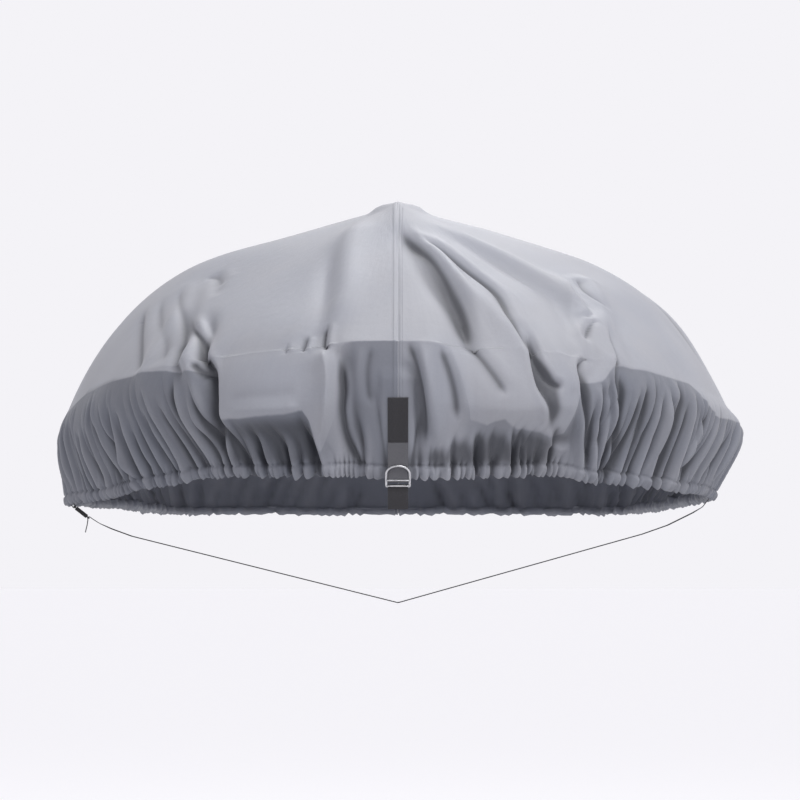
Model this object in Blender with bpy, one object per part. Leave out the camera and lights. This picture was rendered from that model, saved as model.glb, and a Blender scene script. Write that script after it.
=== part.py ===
"""A fitted cover for a small inflatable boat, drawn over the hull and held up by it, seen here without the hull.

The cover is two sheets, port and starboard, that meet along the centre line: up the bow, over a small flat
peak, along the ridge and down the stern. Each sheet slopes from the ridge to the top of the hull's tube,
here called the tube line, bellies out over the tube, tucks under it and ends in an elastic hem. A sewn tab,
a webbing loop, a ladder lock and a strap's tail hang at the bow. A belly strap runs under the hull from hem
to hem, with a side-release buckle on its starboard end.

Units are metres, +Z up, +X to port and +Y aft. Heights are counted from the side hem and lengths from the
bow's tip, and the whole cover then hangs from an empty that puts the underside of the peak at the origin.
"""

import math

import bpy
import numpy as np

# The plan of the tube line, on one side of the centre line.
LENGTH = 3.00
HALF_BEAM = 0.79
BOW_LENGTH = 1.30
BOW_POWER = 2.1
STERN_RADIUS = 0.38

# The ridge: its peak with the small flat cap, how far it sags behind that, and its height at the stern end.
PEAK_Y = 0.55
PEAK_UP = 0.632
CAP_LENGTH = 0.09
RIDGE_SAG = 0.08
RIDGE_SAG_RUN = 0.50
RIDGE_AFT_FROM_Y, RIDGE_AFT_Y = 1.20, 2.45
RIDGE_AFT_UP = 0.50
RIDGE_AFT_RUN = 0.50
RIDGE_SOFT = 0.05

# The cloth forward of this place on the tube line fans out from the peak.
FAN_ALONG = 1.25

# Heights of the tube line, and how much higher the bow rides.
TUBE_UP = 0.20
TUBE_RISE_AT_BOW = 0.06
TUBE_RISE_RUN = 0.40
BOW_RISE = 0.027

# From ridge to tube line the cloth falls by a straight slope, which is all of the fall at the bow, and by a
# round shoulder, which takes the rest of it from SHOULDER_FROM_Y aft and fades out again at the stern.
SLOPE_AT_SIDE = 0.40
SHOULDER_POWER = 6.0
SHOULDER_FROM_Y, SHOULDER_TO_Y = -0.04, 0.86
STERN_FROM_Y = 2.30
STERN_SHOULDER = 0.40

# Cloth and webbing.
CLOTH = 0.002
GAP = 0.0003
WEBBING = 0.0018
BOW_WEBBING = 0.038
BELLY_WEBBING = 0.025

# The bow fastening: the tab's ends as places down the cover (u), and the ladder lock's bars in Y and Z.
TAB_FROM, TAB_TO = 1.42, 1.74
TAB_THICK = 0.003
LOCK_WIRE = 0.0022
LOCK_BAR_Y, LOCK_BAR_UP = 0.0260, 0.0267
LOCK_FOOT_UP = 0.0155
LOCK_CROWN_FROM = 0.0120
LOCK_CROWN_Y, LOCK_CROWN_UP = 0.0175, 0.0530
LOCK_CORNER = 0.0026
LOCK_ROUND_SIDES = 10
TAIL_START_DROP = 0.014
TAIL_BEND_DROP = 0.020
TAIL_END_UP = -0.027

# The belly strap: where it meets the hems, and its way under the hull, in X and Z.
BELLY_Y = 1.05
BELLY_SEWN_FROM = 1.84
SEWN_HALF = 0.0155
SEWN_GAP = 0.0005
BELLY_ROUTE_PORT = ((0.722, -0.006), (0.698, -0.020), (0.639, -0.049), (0.579, -0.070))
BELLY_KEEL = (0.0, -0.232)
BELLY_ROUTE_STARBOARD = ((-0.584, -0.087), (-0.632, -0.075), (-0.679, -0.058), (-0.708, -0.045))
BELLY_TAIL = ((-0.004, -0.016), (-0.008, -0.034))
BELLY_LEAD = 0.008

# The side-release buckle: where its upper bar lies, how far it leans from level, and its parts' lengths.
BUCKLE_X, BUCKLE_UP = -0.7680, -0.0050
BUCKLE_LEAN = math.radians(38.0)
BUCKLE_WIDTH, BUCKLE_THICK = 0.034, 0.009
BUCKLE_BAR, BUCKLE_SLOT, BUCKLE_BODY = 0.0032, 0.0042, 0.0160
BUCKLE_ARM_IN = 0.002

# Where what is sewn on holds the cloth flat: to each side of it, and how far up the cover (u) it starts.
TAB_FLAT_NEAR, TAB_FLAT_FAR = 0.027, 0.040
TAB_FLAT_ABOVE, TAB_FLAT_FULL = 0.24, 0.12
SEWN_FLAT_NEAR, SEWN_FLAT_FAR = 0.016, 0.031
SEWN_FLAT_ABOVE, SEWN_FLAT_FULL = 0.18, 0.06

# The skirt below the tube line, a row for each station: metres along the tube line from the bow, how far the
# cloth bellies out, how far down the skirt it does so (0 to 1), how softly it tucks under, how far the hem is
# drawn in, and the hem's height.
SKIRT_COLUMNS = ("along", "belly", "down", "tuck", "drawn_in", "hem_up")
SKIRT = {
    "port": (
        (0.00, 0.010, 0.30, 0.50, 0.045, 0.004),
        (0.03, 0.010, 0.30, 0.50, 0.045, 0.004),
        (0.08, 0.026, 0.44, 0.22, 0.052, 0.004),
        (0.20, 0.048, 0.50, 0.15, 0.060, 0.008),
        (0.34, 0.034, 0.44, 0.18, 0.060, 0.014),
        (0.46, 0.018, 0.24, 0.50, 0.052, 0.002),
        (0.84, 0.024, 0.24, 0.50, 0.050, 0.000),
        (1.15, 0.030, 0.26, 0.50, 0.048, 0.006),
        (1.55, 0.034, 0.30, 0.50, 0.040, 0.012),
        (2.40, 0.022, 0.40, 0.55, 0.050, 0.000),
        (4.50, 0.016, 0.40, 0.55, 0.050, 0.000),
    ),
    "starboard": (
        (0.00, 0.010, 0.30, 0.50, 0.045, 0.004),
        (0.03, 0.010, 0.30, 0.50, 0.045, 0.004),
        (0.10, 0.022, 0.42, 0.26, 0.052, 0.008),
        (0.26, 0.052, 0.52, 0.14, 0.062, 0.010),
        (0.42, 0.028, 0.46, 0.20, 0.058, 0.012),
        (0.60, 0.018, 0.30, 0.50, 0.046, 0.000),
        (0.86, 0.022, 0.34, 0.55, 0.034, -0.016),
        (1.15, 0.026, 0.42, 0.60, 0.016, -0.010),
        (1.55, 0.022, 0.50, 0.60, 0.004, 0.000),
        (2.40, 0.020, 0.40, 0.55, 0.050, 0.000),
        (4.50, 0.016, 0.40, 0.55, 0.050, 0.000),
    ),
}

# The main folds. Each runs through three places, given as metres along the tube line and as u, which is 0 at
# the ridge, 1 at the tube line and 2 at the hem. Width is to each side, and a depth below 0 is a trough.
FOLDS = (
    # side, start, middle, end, width, depth
    ("port", (0.04, 0.16), (0.13, 0.66), (0.14, 1.12), 0.030, -0.026),
    ("port", (0.05, 0.12), (0.21, 0.73), (0.28, 1.30), 0.026, 0.018),
    ("port", (0.29, 0.84), (0.27, 1.12), (0.29, 1.45), 0.020, -0.018),
    ("port", (0.33, 0.90), (0.33, 1.14), (0.35, 1.36), 0.022, 0.012),
    ("port", (0.30, 0.14), (0.59, 0.53), (0.39, 1.02), 0.032, 0.016),
    ("port", (0.36, 0.20), (0.52, 0.60), (0.35, 0.98), 0.026, -0.012),
    ("port", (0.45, 0.84), (0.38, 1.36), (0.41, 1.90), 0.020, -0.016),
    ("port", (0.78, 0.68), (0.47, 1.18), (0.50, 1.85), 0.022, -0.012),
    ("port", (0.83, 0.60), (0.71, 0.74), (0.46, 0.92), 0.022, 0.010),
    ("port", (0.62, 0.66), (0.43, 1.16), (0.45, 1.85), 0.020, 0.010),
    ("port", (0.03, 1.02), (0.06, 1.39), (0.08, 1.88), 0.018, 0.014),
    ("port", (0.01, 1.10), (0.03, 1.44), (0.05, 1.88), 0.014, -0.008),
    ("starboard", (0.50, 0.10), (0.19, 0.53), (0.16, 1.00), 0.034, 0.026),
    ("starboard", (0.40, 0.30), (0.20, 0.72), (0.19, 1.04), 0.022, -0.010),
    ("starboard", (0.11, 0.96), (0.09, 1.39), (0.09, 1.95), 0.020, -0.016),
    ("starboard", (0.15, 1.00), (0.13, 1.40), (0.15, 1.85), 0.024, 0.014),
    ("starboard", (0.62, 0.76), (0.38, 1.11), (0.40, 1.88), 0.020, -0.016),
    ("starboard", (0.54, 0.86), (0.42, 1.20), (0.45, 1.86), 0.022, 0.010),
    ("starboard", (0.91, 0.66), (0.57, 0.88), (0.47, 1.30), 0.020, -0.013),
    ("starboard", (0.99, 0.70), (0.64, 0.93), (0.54, 1.76), 0.022, 0.010),
    ("starboard", (0.90, 0.58), (0.76, 0.64), (0.64, 0.70), 0.016, -0.010),
)
FOLD_STEPS = 22
FOLD_CREST = 0.3
FOLD_FALL = 1.5
FOLD_FADE = 0.25

# The gathers that the elastic draws into the skirt.
GATHERS = (
    # side, from, to (metres along the tube line), how many, where they start (u), depth
    ("port", 0.06, 0.34, 8, 1.48, 0.008),
    ("port", 0.42, 0.70, 7, 0.98, 0.010),
    ("port", 0.70, 1.20, 12, 0.96, 0.009),
    ("port", 1.20, 1.90, 13, 1.10, 0.008),
    ("port", 1.90, 3.95, 24, 1.25, 0.007),
    ("starboard", 0.11, 0.36, 6, 1.50, 0.008),
    ("starboard", 0.46, 0.74, 7, 1.00, 0.009),
    ("starboard", 0.74, 1.20, 11, 1.00, 0.009),
    ("starboard", 1.20, 1.90, 13, 1.10, 0.007),
    ("starboard", 1.90, 3.95, 24, 1.25, 0.007),
)
GATHER_LEAN = -0.085
GATHER_SWAY, GATHER_SWAY_RATE = 0.28, 1.7
GATHER_ROUND, GATHER_MEAN = 0.7, 0.6
GATHER_UNEVEN, GATHER_UNEVEN_RATE = 0.35, 2.3
GATHER_FULL = 0.45

# The slight unevenness of hanging cloth: a height, and two waves that multiply, each as its rates in X, Y
# and Z and where it starts.
RIPPLES = (
    (0.0030, (9.0, 4.0, 3.0, 0.6), (0.0, 6.0, -5.0, 0.0)),
    (0.0020, (23.0, 0.0, -11.0, 1.1), (0.0, 17.0, 9.0, 0.4)),
)

# The grid of the solids: the spacing of its columns from each place on, and how many of them each row takes.
COLUMN_SPACING = ((0.0, 0.015), (0.20, 0.0155), (1.20, 0.036), (1.75, 0.14))
FINE_ALONG = 1.20
SEWN_CLEAR, SEWN_FOOT = 0.045, 0.033
ROWS = (
    # u, and every how many of the fine columns
    (0.00, 6), (0.035, 6), (0.08, 6), (0.15, 6), (0.24, 6), (0.34, 3), (0.44, 3), (0.54, 3), (0.63, 3),
    (0.72, 3), (0.80, 3), (0.87, 3), (0.94, 3), (1.00, 1), (1.09, 1), (1.19, 1), (1.31, 1), (1.43, 1),
    (1.54, 1), (1.66, 1), (1.79, 1), (1.92, 1), (2.00, 1),
)


def ease(low, high, value):
    """0 below low, 1 above high, and a smooth step between them."""
    t = np.clip((value - low) / (high - low), 0.0, 1.0)
    return t * t * (3.0 - 2.0 * t)


def tube_plan():
    """The tube line from above, bow to stern: its points, and how far along it each of them lies."""
    turn = np.linspace(0.0, math.pi / 2, 600)
    power = 2.0 / BOW_POWER
    bow = np.stack([HALF_BEAM * np.sin(turn) ** power, BOW_LENGTH * (1.0 - np.cos(turn) ** power)], 1)
    corner_x = HALF_BEAM - STERN_RADIUS * (1.0 - np.cos(turn))
    corner_y = LENGTH - STERN_RADIUS * (1.0 - np.sin(turn))
    points = np.concatenate([bow, np.stack([corner_x, corner_y], 1), [[0.0, LENGTH]]])
    along = np.concatenate([[0.0], np.cumsum(np.linalg.norm(np.diff(points, axis=0), axis=1))])
    even = np.linspace(0.0, along[-1], 2400)
    return np.stack([np.interp(even, along, points[:, k]) for k in range(2)], 1), even


PLAN, PLAN_ALONG = tube_plan()
TUBE_LENGTH = float(PLAN_ALONG[-1])
FORWARD_HALF = PLAN[:, 1] < LENGTH / 2
BELLY_ALONG = float(np.interp(BELLY_Y, PLAN[FORWARD_HALF, 1], PLAN_ALONG[FORWARD_HALF]))
PLAN_TANGENT = np.gradient(PLAN, PLAN_ALONG, axis=0)
PLAN_TANGENT[:2] = (1.0, 0.0)
PLAN_TANGENT[-2:] = (-1.0, 0.0)


def skirt_value(side, column, s):
    """A column of a skirt's table at s, easing from row to row."""
    rows = np.array(SKIRT[side])
    at, value = rows[:, 0], rows[:, SKIRT_COLUMNS.index(column)]
    i = np.clip(np.searchsorted(at, s, side="right") - 1, 0, len(at) - 2)
    return value[i] + (value[i + 1] - value[i]) * ease(0.0, 1.0, (s - at[i]) / (at[i + 1] - at[i]))


def rise(y):
    """How much higher the cover lies at y than it does amidships."""
    return BOW_RISE * (1.0 - ease(0.0, BOW_LENGTH, y))


def smooth_cover(side, s, u):
    """The cover without its folds, drawn to port: s is metres along the tube line from the bow, and u is 0 at
    the ridge, 1 at the tube line and 2 at the hem."""
    x = np.interp(s, PLAN_ALONG, PLAN[:, 0])
    y = np.interp(s, PLAN_ALONG, PLAN[:, 1])
    out_x = np.interp(s, PLAN_ALONG, PLAN_TANGENT[:, 1])
    out_y = -np.interp(s, PLAN_ALONG, PLAN_TANGENT[:, 0])
    scale = np.maximum(np.hypot(out_x, out_y), 1e-9)
    out_x, out_y = out_x / scale, out_y / scale
    tube_up = TUBE_UP + TUBE_RISE_AT_BOW * np.exp(-y / TUBE_RISE_RUN) + rise(y)

    # Above the tube line: from a point on the ridge, straight out as seen from above.
    v = np.clip(u, 0.0, 1.0)
    across_cap = CAP_LENGTH * (np.clip(s / FAN_ALONG, 0.0, 1.0) - 0.5)
    along_ridge = np.clip(s - FAN_ALONG, 0.0, None) / (TUBE_LENGTH - FAN_ALONG)
    ridge_y = PEAK_Y + across_cap + (RIDGE_AFT_Y - PEAK_Y - CAP_LENGTH / 2) * along_ridge
    ridge_up = PEAK_UP - RIDGE_SAG * ease(PEAK_Y, PEAK_Y + RIDGE_SAG_RUN, ridge_y)
    aft_drop = PEAK_UP - RIDGE_SAG - RIDGE_AFT_UP
    ridge_up = ridge_up - aft_drop * ease(RIDGE_AFT_FROM_Y, RIDGE_AFT_Y + RIDGE_AFT_RUN, ridge_y)
    shoulder = (1.0 - SLOPE_AT_SIDE) * ease(SHOULDER_FROM_Y, SHOULDER_TO_Y, y)
    shoulder = shoulder * (1.0 - (1.0 - STERN_SHOULDER) * ease(STERN_FROM_Y, LENGTH, y))
    run = (np.hypot(v, RIDGE_SOFT) - RIDGE_SOFT) / (math.hypot(1.0, RIDGE_SOFT) - RIDGE_SOFT)
    drop = (1.0 - shoulder) * run + shoulder * run**SHOULDER_POWER
    top = np.stack([x * v, ridge_y + (y - ridge_y) * v, ridge_up - (ridge_up - tube_up) * drop], -1)

    # Below it: out over the tube, then drawn in towards the hem.
    q = np.clip(u - 1.0, 0.0, 1.0)
    belly, down, tuck, drawn_in, hem_up = (skirt_value(side, c, s) for c in SKIRT_COLUMNS[1:])
    rising = np.sin(0.5 * math.pi * np.clip(q / down, 0.0, 1.0))
    bulge = np.where(q < down, rising, np.exp(-(((q - down) / tuck) ** 2)))
    out = belly * bulge - drawn_in * q**1.7
    hem = hem_up + rise(y)
    skirt = np.stack([x + out_x * out, y + out_y * out, tube_up + (hem - tube_up) * q], -1)
    return np.where((u <= 1.0)[..., None], top, skirt)


def mirror_to(side):
    """What turns a place drawn to port into the same place on the named side."""
    return np.array([1.0 if side == "port" else -1.0, 1.0, 1.0])


def facing(side, s, u):
    """Which way the smooth cover faces at each place, drawn to port."""
    step = 0.002
    ahead, behind = np.clip(s + step, 0.0, TUBE_LENGTH), np.clip(s - step, 0.0, TUBE_LENGTH)
    lower, upper = np.clip(u + step, 0.0, 2.0), np.clip(u - step, 0.0, 2.0)
    off_ridge = np.maximum(u, 0.01)
    along = smooth_cover(side, ahead, off_ridge) - smooth_cover(side, behind, off_ridge)
    down = smooth_cover(side, s, lower) - smooth_cover(side, s, upper)
    out = np.cross(down, along)
    return out / np.maximum(np.linalg.norm(out, axis=-1, keepdims=True), 1e-12)


def fold_line(side, start, middle, end):
    """Points down the crest of a fold."""
    t = np.linspace(0.0, 1.0, FOLD_STEPS)[:, None]
    start, middle, end = (np.array(place) for place in (start, middle, end))
    handle = 2.0 * middle - 0.5 * (start + end)
    s, u = ((1.0 - t) ** 2 * start + 2.0 * t * (1.0 - t) * handle + t**2 * end).T
    return smooth_cover(side, s, u) * mirror_to(side)


def fold_height(points):
    """How far the main folds lift or sink each point."""
    height = np.zeros(points.shape[:-1])
    for side, start, middle, end, width, depth in FOLDS:
        line = fold_line(side, start, middle, end)
        near = np.full(height.shape, np.inf)
        at = np.zeros(height.shape)
        for k in range(len(line) - 1):
            step = line[k + 1] - line[k]
            share = np.clip(((points - line[k]) @ step) / max(float(step @ step), 1e-12), 0.0, 1.0)
            far = np.linalg.norm(points - line[k] - share[..., None] * step, axis=-1)
            closer = far < near
            near, at = np.where(closer, far, near), np.where(closer, (k + share) / (len(line) - 1), at)
        crest = np.hypot(near, FOLD_CREST * width) - FOLD_CREST * width
        fade = ease(0.0, FOLD_FADE, at) * (1.0 - ease(1.0 - FOLD_FADE, 1.0, at))
        height += depth * np.exp(-((crest / width) ** FOLD_FALL)) * fade
    return height


def gather_height(side, s, u):
    """The gathers: rounded ridges with narrow valleys, leaning forward towards the hem."""
    height = np.zeros(s.shape)
    for which, low, high, number, top, depth in GATHERS:
        if which != side:
            continue
        turn = (s - GATHER_LEAN * (u - 1.0) - low) / (high - low) * number
        turn = turn + GATHER_SWAY * np.sin(GATHER_SWAY_RATE * turn + 9.0 * low)
        ridge = np.abs(np.sin(math.pi * turn)) ** GATHER_ROUND - GATHER_MEAN
        uneven = 1.0 - GATHER_UNEVEN + GATHER_UNEVEN * np.sin(GATHER_UNEVEN_RATE * turn + 5.0 * high)
        window = ease(low - 0.02, low + 0.03, s) * (1.0 - ease(high - 0.03, high + 0.02, s))
        height += depth * ridge * uneven * window * ease(top, top + GATHER_FULL, u)
    return height


def ripple(points):
    """How far the cloth's slight unevenness lifts each point."""
    height = np.zeros(points.shape[:-1])
    for high, *waves in RIPPLES:
        height += high * np.prod([np.sin(points @ np.array(wave[:3]) + wave[3]) for wave in waves], axis=0)
    return height


def held_flat(s, u):
    """1 where the bow tab and the belly strap's ends hold the cloth flat, and 0 away from them."""
    tab = 1.0 - ease(TAB_FLAT_NEAR, TAB_FLAT_FAR, s)
    tab = tab * ease(TAB_FROM - TAB_FLAT_ABOVE, TAB_FROM - TAB_FLAT_FULL, u)
    sewn = 1.0 - ease(SEWN_FLAT_NEAR, SEWN_FLAT_FAR, np.abs(s - BELLY_ALONG))
    sewn = sewn * ease(BELLY_SEWN_FROM - SEWN_FLAT_ABOVE, BELLY_SEWN_FROM - SEWN_FLAT_FULL, u)
    return np.maximum(tab, sewn)


def cover(side, s, u):
    """The outer face of the cover, with its folds and gathers, where it really lies."""
    mirror = mirror_to(side)
    flat, out = smooth_cover(side, s, u) * mirror, facing(side, s, u) * mirror
    middle = (u <= 0.0) | (s <= 0.0) | (s >= TUBE_LENGTH)
    out[middle, 0] = 0.0
    out /= np.linalg.norm(out, axis=-1, keepdims=True)
    lift = fold_height(flat) + gather_height(side, s, u) + ripple(flat)
    points = flat + out * (lift * (1.0 - held_flat(s, u)))[..., None]
    points[..., 0] = mirror[0] * np.maximum(mirror[0] * points[..., 0], GAP / 2)
    points[middle, 0] = mirror[0] * GAP / 2
    return points


def column_places():
    """Where the columns lie along the tube line, and how many of them are fine ones."""
    places = [0.0]
    while places[-1] < TUBE_LENGTH:
        spacing = [step for place, step in COLUMN_SPACING if places[-1] >= place - 1e-6][-1]
        places.append(places[-1] + spacing)
    places = np.array(places) * TUBE_LENGTH / places[-1]
    places = places[np.abs(places - BELLY_ALONG) > SEWN_CLEAR]
    sewn = BELLY_ALONG + np.array([-SEWN_FOOT, -SEWN_HALF, SEWN_HALF, SEWN_FOOT])
    places = np.sort(np.concatenate([places, sewn]))
    return places, int((places < FINE_ALONG).sum())


def make_material(name, colour, roughness, metallic=0.0):
    material = bpy.data.materials.new(name)
    material.use_nodes = True
    shader = material.node_tree.nodes["Principled BSDF"]
    shader.inputs["Base Color"].default_value = (*colour, 1.0)
    shader.inputs["Roughness"].default_value = roughness
    shader.inputs["Metallic"].default_value = metallic
    return material


def make_object(name, points, faces, material, parent):
    mesh = bpy.data.meshes.new(name)
    mesh.from_pydata([tuple(map(float, p)) for p in points], [], faces)
    if material:
        mesh.materials.append(material)
    mesh.validate()
    obj = bpy.data.objects.new(name, mesh)
    bpy.context.scene.collection.objects.link(obj)
    obj.parent = parent
    return obj


def zip_rows(upper, lower, along):
    """Triangles between two rows of points, each given as its points' numbers, wherever their columns lie."""
    faces, i, j = [], 0, 0
    while i < len(upper) - 1 or j < len(lower) - 1:
        next_up = along[upper[i + 1]] if i < len(upper) - 1 else math.inf
        next_low = along[lower[j + 1]] if j < len(lower) - 1 else math.inf
        half_up = 0.5 * (next_up + along[upper[i]])
        half_low = 0.5 * (next_low + along[lower[j]])
        last_low_waits = j == len(lower) - 2 and i < len(upper) - 1
        if half_low <= half_up and not last_low_waits:
            faces.append((upper[i], lower[j], lower[j + 1]))
            j += 1
        else:
            faces.append((upper[i], lower[j], upper[i + 1]))
            i += 1
    return faces


def outer_face(side):
    """The outer face's points and triangles, facing out, and the numbers of the points round its rim."""
    places, fine = column_places()
    rows, s, u = [], [], []
    for height, every in ROWS:
        columns = [k for k in range(len(places)) if k >= fine or k % every == 0]
        rows.append(list(range(len(s), len(s) + len(columns))))
        s += [places[k] for k in columns]
        u += [height] * len(columns)
    s, u = np.array(s), np.array(u)
    faces = []
    for upper, lower in zip(rows[:-1], rows[1:]):
        faces += zip_rows(upper, lower, s)
    if side == "starboard":
        faces = [face[::-1] for face in faces]
    rim = rows[0] + [row[-1] for row in rows[1:-1]] + rows[-1][::-1] + [row[0] for row in rows[-2:0:-1]]
    return cover(side, s, u), faces, rim


def one_cloth_in(side, outer, faces):
    """The outer face's points moved in by the cloth's thickness, none of them across the centre line."""
    corners = np.array(faces)
    a, b, c = (outer[corners[:, k]] for k in range(3))
    facing_out = np.zeros_like(outer)
    for k in range(3):
        np.add.at(facing_out, corners[:, k], np.cross(b - a, c - a))
    middle = np.abs(outer[:, 0]) <= GAP / 2 + 1e-9
    facing_out[middle, 0] = 0.0
    facing_out /= np.linalg.norm(facing_out, axis=1, keepdims=True)
    inner = outer - facing_out * CLOTH
    sign = mirror_to(side)[0]
    inner[:, 0] = sign * np.maximum(sign * inner[:, 0], GAP / 2)
    return inner


def make_cover_half(side, material, parent):
    """One half of the cover, a closed sheet: its outer face, the same face a cloth's thickness in, and a rim."""
    outer, faces, rim = outer_face(side)
    inner = one_cloth_in(side, outer, faces)
    count = len(outer)
    closed = faces + [tuple(k + count for k in face[::-1]) for face in faces]
    for here, there in zip(rim, rim[1:] + rim[:1]):
        strip = [(here, here + count, there), (there, here + count, there + count)]
        closed += strip if side == "starboard" else [face[::-1] for face in strip]
    return make_object("cover_" + side, np.concatenate([outer, inner]), closed, material, parent)


def make_band(name, path, across, width, thickness, material, parent):
    """A webbing band: a rectangle swept along the path, its width along across, given once or for each point."""
    path = np.array(path, float)
    across = np.broadcast_to(np.array(across, float), path.shape)
    tangent = np.gradient(path, axis=0)
    tangent /= np.linalg.norm(tangent, axis=1, keepdims=True)
    normal = np.cross(tangent, across)
    normal /= np.linalg.norm(normal, axis=1, keepdims=True)
    corners = [(-1, -1), (1, -1), (1, 1), (-1, 1)]
    rings = [path + w * across * width / 2 + n * normal * thickness / 2 for w, n in corners]
    points = np.stack(rings, 1).reshape(-1, 3)
    faces = [(3, 2, 1, 0)]
    for k in range(len(path) - 1):
        for c in range(4):
            d = (c + 1) % 4
            faces.append((4 * k + c, 4 * k + d, 4 * k + 4 + d, 4 * k + 4 + c))
    last = 4 * (len(path) - 1)
    faces.append((last, last + 1, last + 2, last + 3))
    return make_object(name, points, faces, material, parent)


def inside_hem(side, u, depth):
    """The two places, one on each side of the belly strap's end, that lie depth in from the outer face at u."""
    s = BELLY_ALONG + np.array([-SEWN_HALF, SEWN_HALF])
    u = np.full(2, u)
    return cover(side, s, u) - facing(side, s, u) * mirror_to(side) * depth


def sewn_line(side, places, depth):
    """The middle line of a webbing end that is sewn inside the hem."""
    return [inside_hem(side, u, depth).mean(0) for u in places]


def along_hem(side):
    """The level direction of the hem where the belly strap meets it."""
    front, back = inside_hem(side, 1.9, 0.0)
    level = (back - front) * (1.0, 1.0, 0.0)
    return level / np.linalg.norm(level)


def turn_round(centre, radius, first, last):
    """Points round a bar, in the plane of the webbing's run, between two angles in degrees."""
    angles = np.radians(np.linspace(first, last, 9))
    return [(centre[0] + radius * math.cos(a), centre[1] + radius * math.sin(a)) for a in angles]


def make_box(name, low, high, parent, material=None):
    """A block between two corners in the parent's frame; without a material it is a helper for a union."""
    x, y, z = zip(low, high)
    points = [(x[i], y[j], z[k]) for k in (0, 1) for j in (0, 1) for i in (0, 1)]
    faces = [(0, 2, 3, 1), (4, 5, 7, 6), (0, 1, 5, 4), (2, 6, 7, 3), (0, 4, 6, 2), (1, 3, 7, 5)]
    obj = make_object(name, points, faces, material, parent)
    if material is None:
        hide(obj)
    return obj


def hide(obj):
    obj.hide_render = True
    obj.display_type = "WIRE"


def add_union(obj, helper):
    union = obj.modifiers.new("join_" + helper.name, "BOOLEAN")
    union.operation = "UNION"
    union.object = helper


def make_bow_fastening(webbing, tab_cloth, metal, parent):
    """The sewn tab, the webbing loop under it, the ladder lock and the strap's tail, all on the centre line."""
    u = np.linspace(TAB_FROM, TAB_TO, 9)
    skirt = cover("port", np.zeros_like(u), u)
    tab = [(0.0, y - GAP - TAB_THICK / 2, z) for _, y, z in skirt]
    make_band("bow_tab", tab, (1, 0, 0), BOW_WEBBING, TAB_THICK, tab_cloth, parent)

    wrap = LOCK_WIRE + GAP + WEBBING / 2
    top = (tab[-1][1], tab[-1][2] - GAP)
    bar = (LOCK_BAR_Y, LOCK_BAR_UP)
    front = (bar[0] - wrap, bar[1])
    half_way = ((top[0] + front[0]) / 2, (top[1] + front[1]) / 2)
    loop = [top, ((top[0] + half_way[0]) / 2, (top[1] + half_way[1]) / 2), half_way]
    loop += turn_round(bar, wrap, 180, 360)
    loop += [(half_way[0] + WEBBING + 2 * GAP, half_way[1] - 2 * WEBBING)]
    make_band("bow_loop", [(0.0, y, z) for y, z in loop], (1, 0, 0), BOW_WEBBING, WEBBING, webbing, parent)

    make_lock(BOW_WEBBING / 2 + 2 * GAP + LOCK_WIRE, metal, parent)

    foot = (LOCK_BAR_Y, LOCK_FOOT_UP)
    tail = [(foot[0] + wrap, foot[1] - TAIL_START_DROP)] + turn_round(foot, wrap, 0, 180)
    tail += [(foot[0] - wrap - GAP, foot[1] - TAIL_BEND_DROP), (foot[0] - wrap + WEBBING, TAIL_END_UP)]
    make_band("bow_tail", [(0.0, y, z) for y, z in tail], (1, 0, 0), BOW_WEBBING, WEBBING, webbing, parent)


def lock_path(rail):
    """Points round the ladder lock's wire: over the crown, down one rail, along the foot and up the other."""
    points = []
    crown_from = LOCK_BAR_UP + LOCK_CROWN_FROM
    for turn in np.linspace(0.0, math.pi, 13):
        lift = math.sin(turn)
        y = LOCK_BAR_Y + (LOCK_CROWN_Y - LOCK_BAR_Y) * (0.8 + 0.2 * lift)
        points.append((rail * math.cos(turn), y, crown_from + (LOCK_CROWN_UP - crown_from) * lift))
    for sign, start in ((-1, math.pi), (1, 1.5 * math.pi)):
        middle_x, middle_up = sign * (rail - LOCK_CORNER), LOCK_FOOT_UP + LOCK_CORNER
        bend = []
        for a in np.linspace(start, start + 0.5 * math.pi, 5):
            bend.append((middle_x + LOCK_CORNER * math.cos(a), LOCK_BAR_Y, middle_up + LOCK_CORNER * math.sin(a)))
        level = [(sign * rail, LOCK_BAR_Y, LOCK_BAR_UP)]
        points += level + bend if sign < 0 else bend + level
    return points


def make_lock(rail, metal, parent):
    """The ladder lock: a wire frame with a crowned top that stands forward, and a bar across it."""
    points = lock_path(rail)
    curve = bpy.data.curves.new("bow_lock", "CURVE")
    curve.dimensions = "3D"
    curve.bevel_depth = LOCK_WIRE
    curve.bevel_resolution = 2
    spline = curve.splines.new("POLY")
    spline.points.add(len(points) - 1)
    for place, point in zip(spline.points, points):
        place.co = (*point, 1.0)
    spline.use_cyclic_u = True
    frame = bpy.data.objects.new("bow_lock_frame", curve)
    bpy.context.scene.collection.objects.link(frame)
    depsgraph = bpy.context.evaluated_depsgraph_get()
    mesh = bpy.data.meshes.new_from_object(frame.evaluated_get(depsgraph))
    bpy.data.objects.remove(frame)
    mesh.name = "bow_lock"
    mesh.materials.clear()
    mesh.materials.append(metal)
    lock = bpy.data.objects.new("bow_lock", mesh)
    bpy.context.scene.collection.objects.link(lock)
    lock.parent = parent

    count = LOCK_ROUND_SIDES
    angles = np.arange(count) * 2.0 * math.pi / count
    ring = [(LOCK_WIRE * math.cos(a), LOCK_WIRE * math.sin(a)) for a in angles]
    ends = [[(x, LOCK_BAR_Y + y, LOCK_BAR_UP + z) for y, z in ring] for x in (-rail, rail)]
    faces = [tuple(range(count))[::-1], tuple(range(count, 2 * count))]
    faces += [(k, (k + 1) % count, (k + 1) % count + count, k + count) for k in range(count)]
    bar = make_object("bow_lock_bar", ends[0] + ends[1], faces, metal, parent)
    hide(bar)
    add_union(lock, bar)


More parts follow.
